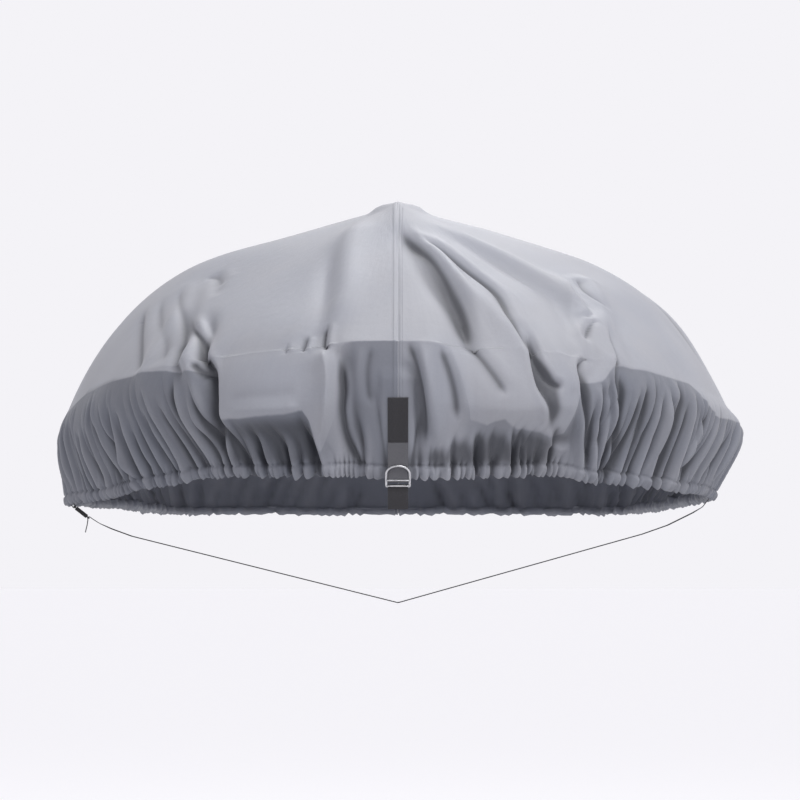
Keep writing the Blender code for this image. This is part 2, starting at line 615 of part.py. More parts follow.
def make_buckle(plastic, parent):
    """The side-release buckle: two blocks end to end, each with a webbing bar on two arms. Gives the distance
    between the bars."""
    holder = bpy.data.objects.new("belly_buckle", None)
    bpy.context.scene.collection.objects.link(holder)
    holder.parent = parent
    holder.location = (BUCKLE_X, BELLY_Y, BUCKLE_UP)
    across = along_hem("starboard")
    holder.rotation_euler = (0.0, BUCKLE_LEAN, math.atan2(-across[0], across[1]))
    half, arm = BUCKLE_WIDTH / 2, (BUCKLE_WIDTH - BELLY_WEBBING) / 2 - 2 * GAP
    middle = BUCKLE_BAR / 2 + BUCKLE_SLOT + BUCKLE_BODY + GAP / 2
    body_end, bar_end = GAP / 2 + BUCKLE_BODY, middle + BUCKLE_BAR / 2
    for name, sign in (("belly_buckle_socket", -1), ("belly_buckle_prongs", 1)):
        # Distances run from the middle of the buckle out to the bar.
        def span(near, far, y, thick):
            low, high = sorted((middle + sign * near, middle + sign * far))
            return (low, y[0], -thick / 2), (high, y[1], thick / 2)

        block = make_box(name, *span(GAP / 2, body_end, (-half, half), BUCKLE_THICK), holder, plastic)
        arm_from = body_end - BUCKLE_ARM_IN
        for k, y in enumerate(((-half, arm - half), (half - arm, half))):
            add_union(block, make_box(f"{name}_arm_{k}", *span(arm_from, bar_end, y, BUCKLE_BAR), holder))
        # The bar is a hair short of the arms' faces, so that no two faces lie in one plane.
        reach = (arm / 2 - half, half - arm / 2)
        bar_ends = span(bar_end - BUCKLE_BAR, bar_end - GAP / 3, reach, BUCKLE_BAR - GAP / 3)
        add_union(block, make_box(f"{name}_bar", *bar_ends, holder))
    return 2.0 * middle


def make_belly_strap(webbing, plastic, parent):
    """The strap under the hull: sewn inside the port hem, and held by the buckle at the starboard one."""
    length = make_buckle(plastic, parent)
    along, up = math.cos(BUCKLE_LEAN), -math.sin(BUCKLE_LEAN)
    upper_bar = (BUCKLE_X, BUCKLE_UP)
    lower_bar = (BUCKLE_X + along * length, BUCKLE_UP + up * length)
    wrap = BUCKLE_BAR / math.sqrt(2) + GAP + WEBBING / 2
    against = CLOTH + SEWN_GAP + WEBBING / 2

    sewn = sewn_line("port", np.linspace(BELLY_SEWN_FROM, 1.99, 4), against)
    sewn.append(sewn[-1] + 0.5 * (sewn[-1] - sewn[-2]))
    route = [(p[0], p[2]) for p in sewn] + list(BELLY_ROUTE_PORT) + [BELLY_KEEL] + list(BELLY_ROUTE_STARBOARD)
    free = len(route)
    lean = math.degrees(math.atan2(up, along))
    lead = (lower_bar[0] + BELLY_LEAD * along - wrap * up, lower_bar[1] + BELLY_LEAD * up + wrap * along)
    route += [lead] + turn_round(lower_bar, wrap, lean + 90, lean + 270)
    route += [(lower_bar[0] + dx, lower_bar[1] + dz) for dx, dz in BELLY_TAIL]
    # The buckle follows the hem, which isn't quite fore and aft there, and the strap follows the buckle.
    buckle_across = along_hem("starboard")
    skew = -buckle_across[0] / buckle_across[1]
    turned = BELLY_ROUTE_STARBOARD[2][0]
    bend_x, bend_y = (BUCKLE_X, turned, BELLY_ROUTE_PORT[-1][0]), (0.0, skew * (turned - BUCKLE_X), 0.0)
    points = [(x, BELLY_Y + np.interp(x, bend_x, bend_y), z) for x, z in route]
    across = [along_hem("port")] * (len(sewn) + 1) + [(0, 1, 0)] * (free - len(sewn) - 2)
    across += [buckle_across] * (len(points) - len(across))
    make_band("belly_strap", points, across, BELLY_WEBBING, WEBBING, webbing, parent)

    sewn = sewn_line("starboard", np.linspace(BELLY_SEWN_FROM, 1.97, 4), against)
    route = [(p[0], p[2]) for p in sewn] + turn_round(upper_bar, wrap, lean + 270, lean + 450)
    back = sewn_line("starboard", [1.93], against + WEBBING + 2 * GAP)[0]
    route += [(back[0], back[2])]
    points = [(x, BELLY_Y + skew * (x - BUCKLE_X), z) for x, z in route]
    make_band("belly_hem_loop", points, along_hem("starboard"), BELLY_WEBBING, WEBBING, webbing, parent)


def main():
    for obj in list(bpy.data.objects):
        bpy.data.objects.remove(obj)
    cloth = make_material("cover_cloth", (0.36, 0.38, 0.42), 0.75)
    webbing = make_material("webbing", (0.10, 0.10, 0.12), 0.85)
    tab_cloth = make_material("tab_webbing", (0.03, 0.03, 0.035), 0.9)
    metal = make_material("lock_metal", (0.42, 0.42, 0.45), 0.35, 1.0)
    plastic = make_material("buckle_plastic", (0.02, 0.02, 0.022), 0.45)

    hang = bpy.data.objects.new("boat_under_peak", None)
    bpy.context.scene.collection.objects.link(hang)
    under_peak = cover("port", np.array([0.5 * FAN_ALONG]), np.array([0.0]))[0] - (0.0, 0.0, CLOTH)
    hang.location = (0.0, -under_peak[1], -under_peak[2])
    for side in ("port", "starboard"):
        make_cover_half(side, cloth, hang)
    make_bow_fastening(webbing, tab_cloth, metal, hang)
    make_belly_strap(webbing, plastic, hang)


if __name__ == "__main__":
    main()
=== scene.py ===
"""The looks of a fitted boat cover: coated grey cloth gathered by an elastic hem, its stitching, the bow
fastening, the belly strap with its buckle, and the stage. Units are metres, +Z up, +X to port, +Y aft."""

import math

import bpy
import numpy as np
from bpy.props import FloatProperty, FloatVectorProperty, PointerProperty
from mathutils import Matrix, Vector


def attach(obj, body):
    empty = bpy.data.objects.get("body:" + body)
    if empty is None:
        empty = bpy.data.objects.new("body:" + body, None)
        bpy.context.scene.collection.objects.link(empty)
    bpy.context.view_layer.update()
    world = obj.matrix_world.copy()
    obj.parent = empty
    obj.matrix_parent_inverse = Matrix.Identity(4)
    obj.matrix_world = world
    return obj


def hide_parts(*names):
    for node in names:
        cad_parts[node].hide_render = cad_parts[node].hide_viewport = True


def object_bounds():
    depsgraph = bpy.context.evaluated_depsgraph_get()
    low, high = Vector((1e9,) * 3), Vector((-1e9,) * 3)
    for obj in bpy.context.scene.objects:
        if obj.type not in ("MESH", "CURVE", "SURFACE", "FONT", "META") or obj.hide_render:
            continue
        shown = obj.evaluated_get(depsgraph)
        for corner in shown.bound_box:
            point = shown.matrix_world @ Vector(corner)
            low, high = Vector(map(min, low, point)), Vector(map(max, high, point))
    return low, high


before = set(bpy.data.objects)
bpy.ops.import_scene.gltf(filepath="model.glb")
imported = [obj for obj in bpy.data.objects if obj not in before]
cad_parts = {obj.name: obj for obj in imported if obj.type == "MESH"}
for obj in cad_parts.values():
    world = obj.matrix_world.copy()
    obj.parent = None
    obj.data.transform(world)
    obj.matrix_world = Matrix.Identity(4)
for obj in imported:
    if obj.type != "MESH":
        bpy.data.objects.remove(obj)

CAD_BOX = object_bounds()

bl_info = {
    "name": "Boat cover",
    "version": (1, 0, 0),
    "blender": (4, 5, 0),
    "location": "View3D > Sidebar > Boat cover",
    "description": "Dresses a fitted boat cover: cloth, stitching, straps, lock, buckle and stage",
    "category": "Object",
}

# ---- The cover's shape ----

# The rim is the line where the cover's top turns down into its skirt. From above it has a rounded bow,
# straight sides and a stern with round corners.
LENGTH = 3.00
HALF_BEAM = 0.79
BOW_LENGTH = 1.30
BOW_POWER = 2.1
STERN_RADIUS = 0.38
RIM_UP = 0.20
RIM_RISE_AT_BOW = 0.06
RIM_RISE_RUN = 0.40
BOW_RISE = 0.027

# The ridge: its peak with a small cap, how it sinks behind that, and how far round the rim the cloth fans
# out from the cap.
PEAK_Y = 0.55
PEAK_UP = 0.632
CAP_LENGTH = 0.09
CAP_FLAT, CAP_FADE, CAP_DROP = 0.032, 0.070, 0.0015
RIDGE_SAG = 0.08
RIDGE_SAG_RUN = 0.50
RIDGE_AFT_FROM_Y, RIDGE_AFT_Y = 1.20, 2.45
RIDGE_AFT_UP = 0.50
RIDGE_AFT_RUN = 0.50
RIDGE_SOFT = 0.05
FAN_ALONG = 1.25

# From the ridge to the rim: straight at the bow, and round-shouldered amidships.
SLOPE_AT_SIDE = 0.40
SHOULDER_POWER = 6.0
SHOULDER_FROM_Y, SHOULDER_TO_Y = -0.04, 0.86
STERN_FROM_Y = 2.30
STERN_SHOULDER = 0.40

# Thicknesses, and the gap between pieces that lie against each other.
CLOTH = 0.002
GAP = 0.0003
WEBBING = 0.0018

# The tab on the bow (from u, to u) and the ladder lock that hangs from it, with its Y and heights.
BOW_WEBBING = 0.038
TAB_FROM, TAB_TO = 1.42, 1.74
TAB_THICK = 0.003
LOCK_WIRE = 0.0022
LOCK_BAR_Y, LOCK_BAR_UP = 0.0260, 0.0267
LOCK_FOOT_UP = 0.0155
LOCK_CROWN_FROM = 0.0120
LOCK_CROWN_Y, LOCK_CROWN_UP = 0.0175, 0.0530
LOCK_CROWN_SHARE = 0.8
LOCK_CORNER = 0.0026
LOCK_FRONT_BARS = (0.0262, 0.0158)
LOCK_FRONT_REACH = 0.0062
LOCK_FRONT_WIRE = 0.7
TAIL_START_DROP = 0.014
TAIL_BEND_DROP = 0.020
TAIL_END_UP = -0.027

# The belly strap, as places across the cover and up, and the buckle that joins it to the starboard hem.
BELLY_WEBBING = 0.025
BELLY_Y = 1.05
BELLY_SEWN_FROM = 1.84
SEWN_HALF = 0.0155
SEWN_GAP = 0.0005
BELLY_ROUTE_PORT = ((0.722, -0.006), (0.698, -0.020), (0.639, -0.049), (0.579, -0.070))
BELLY_LOWEST = (0.0, -0.232)
BELLY_ROUTE_STARBOARD = ((-0.584, -0.087), (-0.632, -0.075), (-0.679, -0.058), (-0.708, -0.045))
BELLY_TAIL = ((-0.004, -0.016), (-0.008, -0.034))
BELLY_LEAD = 0.008
BUCKLE_X, BUCKLE_UP = -0.7680, -0.0050
BUCKLE_LEAN = math.radians(38.0)
BUCKLE_BAR, BUCKLE_SLOT, BUCKLE_BODY = 0.0032, 0.0042, 0.0160

# Where the bow tab and the belly strap's ends hold the cloth flat: how far to each side of them it is flat,
# how far to each side it is free, and how far above them (u) it is free and flat.
TAB_FLAT_NEAR, TAB_FLAT_FAR = 0.027, 0.040
TAB_FLAT_ABOVE, TAB_FLAT_FULL = 0.24, 0.12
SEWN_FLAT_NEAR, SEWN_FLAT_FAR = 0.016, 0.031
SEWN_FLAT_ABOVE, SEWN_FLAT_FULL = 0.18, 0.06

# The skirt below the rim: metres along the rim from the bow, how far the cloth bellies out, how far down it
# does so (0 to 1), how softly it tucks under, how far the hem is drawn in, and the hem's height.
SKIRT_COLUMNS = ("along", "belly", "down", "tuck", "drawn_in", "hem_up")
SKIRT = {
    "port": (
        (0.00, 0.010, 0.30, 0.50, 0.045, 0.004),
        (0.03, 0.010, 0.30, 0.50, 0.045, 0.004),
        (0.08, 0.026, 0.44, 0.22, 0.052, 0.004),
        (0.20, 0.048, 0.50, 0.15, 0.060, 0.008),
        (0.34, 0.034, 0.44, 0.18, 0.060, 0.014),
        (0.46, 0.018, 0.24, 0.50, 0.052, 0.002),
        (0.84, 0.024, 0.24, 0.50, 0.050, 0.000),
        (1.15, 0.030, 0.26, 0.50, 0.048, 0.006),
        (1.55, 0.034, 0.30, 0.50, 0.040, 0.012),
        (2.40, 0.022, 0.40, 0.55, 0.050, 0.000),
        (4.50, 0.016, 0.40, 0.55, 0.050, 0.000),
    ),
    "starboard": (
        (0.00, 0.010, 0.30, 0.50, 0.045, 0.004),
        (0.03, 0.010, 0.30, 0.50, 0.045, 0.004),
        (0.10, 0.022, 0.42, 0.26, 0.052, 0.008),
        (0.26, 0.052, 0.52, 0.14, 0.062, 0.010),
        (0.42, 0.028, 0.46, 0.20, 0.058, 0.012),
        (0.60, 0.018, 0.30, 0.50, 0.046, 0.000),
        (0.86, 0.022, 0.34, 0.55, 0.034, -0.016),
        (1.15, 0.026, 0.42, 0.60, 0.016, -0.010),
        (1.55, 0.022, 0.50, 0.60, 0.004, 0.000),
        (2.40, 0.020, 0.40, 0.55, 0.050, 0.000),
        (4.50, 0.016, 0.40, 0.55, 0.050, 0.000),
    ),
}

# The folds. Each runs through three places, given as metres along the rim and as u, which is 0 at the ridge,
# 1 at the rim and 2 at the hem. Width is to each side, and a depth below 0 is a trough.
FOLDS = (
    # side, start, middle, end, width, depth
    ("port", (0.04, 0.16), (0.13, 0.66), (0.14, 1.12), 0.022, -0.018),
    ("port", (0.05, 0.12), (0.21, 0.73), (0.28, 1.30), 0.026, 0.015),
    ("port", (0.29, 0.84), (0.27, 1.12), (0.29, 1.45), 0.015, -0.015),
    ("port", (0.33, 0.90), (0.33, 1.14), (0.35, 1.36), 0.016, 0.006),
    ("port", (0.30, 0.14), (0.59, 0.53), (0.39, 1.02), 0.030, 0.016),
    ("port", (0.36, 0.20), (0.52, 0.60), (0.35, 0.98), 0.026, -0.012),
    ("port", (0.40, 0.92), (0.37, 1.40), (0.41, 1.90), 0.013, -0.010),
    ("port", (0.78, 0.68), (0.47, 1.18), (0.50, 1.85), 0.018, -0.006),
    ("port", (0.83, 0.60), (0.71, 0.74), (0.46, 0.92), 0.020, 0.010),
    ("port", (0.62, 0.66), (0.43, 1.16), (0.45, 1.85), 0.017, 0.006),
    ("port", (0.03, 1.02), (0.06, 1.39), (0.08, 1.88), 0.018, 0.014),
    ("port", (0.01, 1.10), (0.03, 1.44), (0.05, 1.88), 0.012, -0.008),
    ("starboard", (0.50, 0.10), (0.19, 0.53), (0.16, 1.00), 0.032, 0.017),
    ("starboard", (0.40, 0.30), (0.20, 0.72), (0.19, 1.04), 0.018, -0.010),
    ("starboard", (0.11, 0.96), (0.09, 1.39), (0.09, 1.95), 0.015, -0.012),
    ("starboard", (0.15, 1.00), (0.13, 1.40), (0.15, 1.85), 0.022, 0.014),
    ("starboard", (0.62, 0.76), (0.39, 1.11), (0.40, 1.88), 0.014, -0.018),
    ("starboard", (0.54, 0.86), (0.42, 1.20), (0.45, 1.86), 0.016, 0.012),
    ("starboard", (0.91, 0.66), (0.57, 0.88), (0.47, 1.30), 0.018, -0.009),
    ("starboard", (0.99, 0.70), (0.64, 0.93), (0.54, 1.76), 0.020, 0.007),
    ("starboard", (0.90, 0.58), (0.76, 0.64), (0.64, 0.70), 0.014, -0.005),
)

# Finer, sharper creases on top of them, as soft or crisp as their width says. Each runs down through its
# places, with a rounded ridge to the right of it as seen from outside where the last value is 1, and to the
# left where it is -1. A depth above 0 is a crisp ridge.
CREASES = (
    # side, places (metres along the rim, u), width, depth, side of its ridge
    ("starboard", ((0.661, 0.788), (0.450, 0.942), (0.378, 1.188), (0.371, 1.554), (0.403, 1.90)),
     0.0075, -0.015, 1),
    ("starboard", ((0.441, 1.023), (0.412, 1.120), (0.387, 1.163)), 0.0070, -0.012, 1),
    ("starboard", ((0.916, 0.699), (0.652, 0.819), (0.469, 0.988)), 0.0150, -0.007, 1),
    ("starboard", ((0.870, 0.640), (0.810, 0.618), (0.714, 0.641)), 0.0100, -0.004, 1),
    ("starboard", ((0.963, 0.749), (0.658, 0.880), (0.535, 0.992)), 0.0140, -0.005, 1),
    ("starboard", ((0.990, 0.800), (0.760, 0.900), (0.600, 1.010)), 0.0120, -0.007, 1),
    ("starboard", ((0.560, 0.900), (0.500, 0.990), (0.450, 1.160)), 0.0100, -0.005, -1),
    ("starboard", ((0.150, 1.020), (0.130, 1.200), (0.132, 1.419), (0.158, 1.850)), 0.0110, 0.010, 1),
    ("starboard", ((0.108, 1.100), (0.101, 1.359), (0.104, 1.559), (0.098, 1.760), (0.069, 1.965)),
     0.0060, -0.011, 1),
    ("starboard", ((0.157, 0.880), (0.148, 0.960), (0.133, 1.060)), 0.0060, -0.010, 1),
    ("starboard", ((0.192, 0.925), (0.188, 0.975), (0.184, 1.045)), 0.0055, -0.007, 1),
    ("starboard", ((0.225, 0.965), (0.222, 1.000), (0.218, 1.050)), 0.0055, -0.004, 1),
    ("starboard", ((0.345, 1.500), (0.270, 1.490), (0.215, 1.490), (0.178, 1.470)), 0.0120, 0.007, 1),
    ("starboard", ((0.050, 1.030), (0.056, 1.250), (0.050, 1.500)), 0.0080, -0.006, -1),
    ("port", ((0.010, 0.230), (0.138, 0.456), (0.157, 0.726), (0.142, 0.990)), 0.0110, -0.012, 1),
    ("port", ((0.120, 0.300), (0.220, 0.405), (0.293, 0.637), (0.268, 0.842), (0.250, 1.060)),
     0.0110, -0.011, 1),
    ("port", ((0.724, 0.548), (0.567, 0.707), (0.466, 0.834), (0.340, 1.150)), 0.0130, 0.009, 1),
    ("port", ((0.288, 0.880), (0.272, 1.060), (0.292, 1.250), (0.322, 1.310)), 0.0065, -0.013, 1),
    ("port", ((0.266, 0.960), (0.262, 1.150), (0.283, 1.400), (0.320, 1.640)), 0.0080, -0.010, -1),
    ("port", ((0.424, 0.925), (0.372, 1.100), (0.377, 1.374), (0.403, 1.620), (0.430, 1.90)),
     0.0055, -0.013, -1),
    ("port",
     ((0.580, 0.840), (0.505, 0.950), (0.466, 1.090), (0.472, 1.320), (0.497, 1.724), (0.505, 1.90)),
     0.0055, -0.012, -1),
    ("port", ((0.425, 0.930), (0.485, 0.869), (0.530, 0.840)), 0.0070, -0.008, 1),
    ("port", ((0.600, 0.720), (0.560, 0.800), (0.500, 0.830)), 0.0080, -0.006, -1),
    ("port", ((0.305, 1.600), (0.325, 1.740), (0.353, 1.780), (0.385, 1.760)), 0.0080, 0.008, 1),
    ("port", ((0.016, 0.980), (0.036, 1.200), (0.050, 1.500), (0.054, 1.800)), 0.0085, -0.010, 1),
    ("port", ((0.079, 1.000), (0.098, 1.300), (0.112, 1.620)), 0.0090, -0.009, 1),
    ("port", ((0.140, 0.940), (0.165, 1.160), (0.200, 1.420)), 0.0110, -0.008, 1),
    ("port", ((0.780, 0.620), (0.700, 0.690), (0.670, 0.800)), 0.0100, -0.007, -1),
    ("port", ((1.150, 0.400), (1.130, 0.700), (1.080, 1.000)), 0.0280, -0.007, -1),
    ("port", ((1.700, 0.300), (1.660, 0.650), (1.580, 1.040)), 0.0300, -0.007, 1),
    ("port", ((2.250, 0.250), (2.300, 0.600), (2.240, 1.060)), 0.0320, -0.006, -1),
    ("port", ((2.950, 0.200), (3.020, 0.550), (3.100, 1.050)), 0.0300, -0.009, 1),
    ("port", ((3.350, 0.120), (3.380, 0.500), (3.440, 1.100)), 0.0260, -0.010, -1),
    ("port", ((3.750, 0.150), (3.760, 0.500), (3.700, 1.050)), 0.0260, -0.007, 1),
    ("starboard", ((1.230, 0.500), (1.190, 0.760), (1.120, 1.020)), 0.0280, -0.006, 1),
    ("starboard", ((1.520, 0.300), (1.560, 0.650), (1.500, 1.040)), 0.0300, -0.008, -1),
    ("starboard", ((2.050, 0.300), (2.040, 0.650), (1.940, 1.060)), 0.0300, -0.006, 1),
    ("starboard", ((2.800, 0.220), (2.860, 0.600), (2.930, 1.050)), 0.0320, -0.008, -1),
    ("starboard", ((3.250, 0.150), (3.310, 0.520), (3.350, 1.100)), 0.0260, -0.010, 1),
    ("starboard", ((3.640, 0.140), (3.620, 0.500), (3.600, 1.050)), 0.0260, -0.008, -1),
)

# The section of a fold and of a crease: how round its crest is, how it falls off, how far from its ends it
# fades, and how many widths away it is still reckoned. A crease has a rounded ridge beside it as well.
FOLD_STEPS = 22
FOLD_CREST = 0.3
FOLD_FALL = 1.5
FOLD_FADE = 0.25
FOLD_REACH = 5.0
CREASE_STEPS = 12
CREASE_CREST = 0.15
CREASE_FADE = 0.20
CREASE_REACH = 8.0
CREASE_RIDGE, CREASE_RIDGE_AT, CREASE_RIDGE_HALF = 0.45, 2.1, 1.4

# The sharp pleats that run down to the hem: narrow valleys with a rounded ridge on the bow's side of each.
# They vary in place, lean, width and depth, and bow a little.
PLEAT_SEED = 11
PLEATS = (
    # side, from, to (metres along the rim), pitch, highest and lowest start (u), half width, depth, lean
    ("starboard", 0.045, 0.15, 0.034, 1.30, 1.70, 0.0045, 0.006, -0.03),
    ("starboard", 0.175, 0.375, 0.024, 1.50, 1.66, 0.0055, 0.012, -0.01),
    ("starboard", 0.39, 0.80, 0.031, 1.00, 1.45, 0.0066, 0.012, -0.075),
    ("starboard", 0.80, 1.36, 0.028, 0.98, 1.30, 0.0065, 0.010, -0.11),
    ("starboard", 1.50, 3.95, 0.048, 1.05, 1.50, 0.0140, 0.010, -0.06),
    ("port", 0.05, 0.085, 0.030, 1.30, 1.70, 0.0045, 0.007, -0.01),
    ("port", 0.085, 0.345, 0.024, 1.54, 1.74, 0.0052, 0.012, 0.02),
    ("port", 0.365, 0.455, 0.030, 1.06, 1.40, 0.0065, 0.013, 0.03),
    ("port", 0.475, 0.86, 0.0285, 0.97, 1.20, 0.0082, 0.019, -0.015),
    ("port", 0.86, 1.36, 0.028, 0.98, 1.35, 0.0075, 0.014, -0.09),
    ("port", 1.50, 3.95, 0.048, 1.05, 1.50, 0.0140, 0.010, -0.06),
)
PLEAT_RIDGE, PLEAT_RIDGE_AT, PLEAT_RIDGE_HALF = 0.55, 2.2, 1.7
PLEAT_ASTRAY, PLEAT_WIDER, PLEAT_DEEPER, PLEAT_LEAN = 0.32, 0.30, 0.35, 0.035
PLEAT_BOW, PLEAT_BOW_RATE = 0.006, 5.0
PLEAT_CREST, PLEAT_REACH = 0.15, 9.0
PLEAT_GROWN, PLEAT_IN_CASING = 0.30, 0.45

# The gathers that the elastic draws into the skirt, rounded on top and uneven in pitch and height.
GATHERS = (
    # side, from, to (metres along the rim), how many, where they start (u), depth
    ("port", 0.06, 0.34, 8, 1.48, 0.008),
    ("port", 0.42, 0.70, 7, 0.98, 0.008),
    ("port", 0.70, 1.20, 12, 0.96, 0.009),
    ("port", 1.20, 1.90, 13, 1.10, 0.008),
    ("port", 1.90, 3.95, 24, 1.25, 0.007),
    ("starboard", 0.11, 0.36, 6, 1.50, 0.008),
    ("starboard", 0.46, 0.74, 7, 1.00, 0.008),
    ("starboard", 0.74, 1.20, 11, 1.00, 0.009),
    ("starboard", 1.20, 1.90, 13, 1.10, 0.007),
    ("starboard", 1.90, 3.95, 24, 1.25, 0.007),
)
GATHER_LEAN = -0.085
GATHER_SWAY, GATHER_SWAY_RATE = 0.28, 1.7
GATHER_ROUND, GATHER_MEAN = 0.7, 0.6
GATHER_UNEVEN, GATHER_UNEVEN_RATE = 0.35, 2.3
GATHER_FULL = 0.45

# The slight unevenness of hanging cloth: a height, and two waves that multiply, each as its rates in X, Y
# and Z and where it starts.
RIPPLES = (
    (0.0030, (9.0, 4.0, 3.0, 0.6), (0.0, 6.0, -5.0, 0.0)),
    (0.0020, (23.0, 0.0, -11.0, 1.1), (0.0, 17.0, 9.0, 0.4)),
)

# Below this line the cloth lies tight against the tube, and its colour is painted darker there as painted
# shade: its places (metres along the rim, u), and how strong the painted shade below it is there.
SHADE_LINES = {
    "starboard": (
        (0.00, 1.00, 0.80), (0.085, 1.00, 0.75), (0.100, 1.01, 0.35), (0.108, 1.03, 0.08),
        (0.118, 1.55, 0.05), (0.135, 1.68, 0.30), (0.152, 1.80, 0.75), (0.160, 1.74, 0.9),
        (0.166, 1.58, 1.0), (0.176, 1.51, 1.0), (0.21, 1.53, 1.0), (0.30, 1.55, 1.0),
        (0.368, 1.54, 1.0), (0.377, 1.15, 0.90), (0.46, 1.10, 0.80), (0.52, 1.05, 0.90), (0.58, 1.03, 1.0),
        (0.75, 1.00, 1.0), (0.94, 1.00, 1.0), (1.05, 1.08, 1.0), (1.30, 1.16, 0.9), (2.20, 1.10, 0.8),
        (4.50, 1.10, 0.8),
    ),
    "port": (
        (0.00, 1.00, 0.36), (0.07, 1.01, 0.30), (0.10, 1.03, 0.10), (0.12, 1.35, 0.08), (0.135, 1.58, 0.35),
        (0.17, 1.62, 0.55), (0.20, 1.58, 0.6), (0.23, 1.64, 0.6), (0.29, 1.66, 0.7), (0.335, 1.70, 0.6),
        (0.354, 1.66, 0.55), (0.363, 1.22, 0.60), (0.39, 1.23, 0.65), (0.42, 1.20, 0.70), (0.45, 1.08, 0.75),
        (0.47, 1.03, 0.80), (0.50, 1.02, 0.80), (0.76, 1.03, 0.8), (0.80, 1.09, 0.8), (0.92, 1.26, 0.85),
        (1.10, 1.20, 0.9), (2.20, 1.10, 0.8), (4.50, 1.10, 0.8),
    ),
}

# Ridges that stand out take less of the painted shade below the rim: by how much, and how high they then
# are.
RAISED_SHARE, RAISED_HIGH = 0.42, 0.0075

# How deep a valley is when its painted shade is darkest, how much less painted shade ridges and the hem's
# casing take, and how much less the wider valleys aft take, from and to (metres along the rim).
VALLEY_DEEP = 0.010
RIDGE_LESS_SHADE = 0.30
CASING_LIGHTER = 0.62
AFT_LESS_SHADE, AFT_LESS_SHADE_AT = 0.55, (1.30, 2.00)

# Under the slack bulges the cloth turns in and lies in shade: where that starts (u) and how deep it is.
DEEP_LINES = {
    "starboard": (
        (0.00, 1.80, 0.30), (0.10, 1.80, 0.35), (0.155, 1.84, 0.55), (0.168, 1.50, 0.80), (0.36, 1.52, 0.80),
        (0.377, 1.45, 0.30), (0.45, 1.60, 0.20), (4.50, 1.60, 0.10),
    ),
    "port": (
        (0.00, 1.80, 0.45), (0.05, 1.74, 0.80), (0.13, 1.68, 1.15), (0.20, 1.64, 1.15), (0.31, 1.62, 1.15),
        (0.34, 1.60, 0.50), (0.37, 1.50, 0.25), (0.60, 1.60, 0.15), (4.50, 1.60, 0.10),
    ),
}

# The widest valleys lie in shade too.
SHADED_VALLEYS = (
    # side, top, bottom (metres along the rim, u), half width, depth
    ("port", (0.262, 0.93), (0.318, 1.72), 0.016, 0.80),
    ("port", (0.366, 1.00), (0.418, 1.95), 0.009, 0.60),
    ("port", (0.466, 1.00), (0.505, 1.90), 0.009, 0.45),
    ("port", (0.020, 1.00), (0.055, 1.85), 0.012, 0.30),
    ("starboard", (0.395, 1.15), (0.405, 1.85), 0.013, 0.45),
    ("starboard", (0.085, 1.02), (0.075, 1.95), 0.012, 0.30),
)

# The hem: where the casing's stitching runs (u), how proud the casing stands, how thick it is, the groove
# along its stitching, the scrunched pleats in it, and how far two of them let its edge sag.
CASING_FROM = 1.905
CASING_PUFF = 0.0045
CASING_DEEP = 0.0060
STITCH_GROOVE, STITCH_GROOVE_HALF = 0.0030, 0.010
SCRUNCHES = (
    # pitch, depth, from where they show (u), where they are full (u), sway of the pitch, rate of the sway
    (0.0155, 0.0085, 1.80, 1.94, 0.9, 0.61),
    (0.0290, 0.0060, 1.62, 1.92, 0.8, 0.37),
    (0.0082, 0.0026, 1.86, 1.95, 0.7, 0.83),
)
HEM_SAG = (0.0055, 0.0060)

# Where the cloth is slack it rounds the rim: from and to (metres along the rim), how far in, over what
# distance, and how softly at the rim itself.
ROUNDED = {"starboard": (0.125, 0.385), "port": (0.085, 0.43)}
ROUND_FADE = 0.03
ROUND_IN, ROUND_OVER, ROUND_SOFT = 0.014, 0.048, 0.012

# The cloth from ridge to rim and from rim to hem there, and from ridge to rim as its weave is laid out.
TOP_RUN, SKIRT_RUN = 0.70, 0.25
WEAVE_TOP_RUN = 0.55

# The centre seam: its groove, the flat welt beside it, and how far off the seam the topstitching runs.
SEAM_GROOVE, SEAM_HALF = 0.0016, 0.0030
SEAM_WELT = 0.0008
WELT_FROM, WELT_TO, WELT_SOFT = 0.0040, 0.0110, 0.002
SEAM_FADE = 0.03
TOPSTITCH_OFF = 0.0085
TOPSTITCH_RUNS = (
    # from u, to u, length, whether it is at the stern
    (0.10, 1.88, 0.98, False),
    (0.12, 1.88, 0.92, True),
)

# The sheet's grid: the columns beside the centre line, then the spacing of the columns from each place on,
# and how many rows each stretch of the cloth has and every how many columns it takes.
SEAM_COLUMNS = (0.0, 0.0015, 0.0030, 0.0050, 0.0075, 0.0105)
COLUMN_SPACING = ((0.0, 0.0023), (0.80, 0.0034), (1.30, 0.008), (1.90, 0.0128))
ROW_STRETCHES = (
    # from u, to u, rows, every how many columns
    (0.00, 0.10, 6, 2), (0.10, 0.55, 28, 2), (0.55, 0.84, 42, 2), (0.84, 1.08, 28, 1), (1.08, 1.88, 46, 1),
    (1.88, 2.00, 13, 1), (2.00, 2.095, 7, 1),
)


def ease(low, high, value):
    """0 below low, 1 above high, and a smooth step between them."""
    t = np.clip((value - low) / (high - low), 0.0, 1.0)
    return t * t * (3.0 - 2.0 * t)


def between(low, low_full, high_full, high, value):
    """1 between the two inner values, 0 outside the two outer ones, and smooth steps in between."""
    return ease(low, low_full, value) * (1.0 - ease(high_full, high, value))


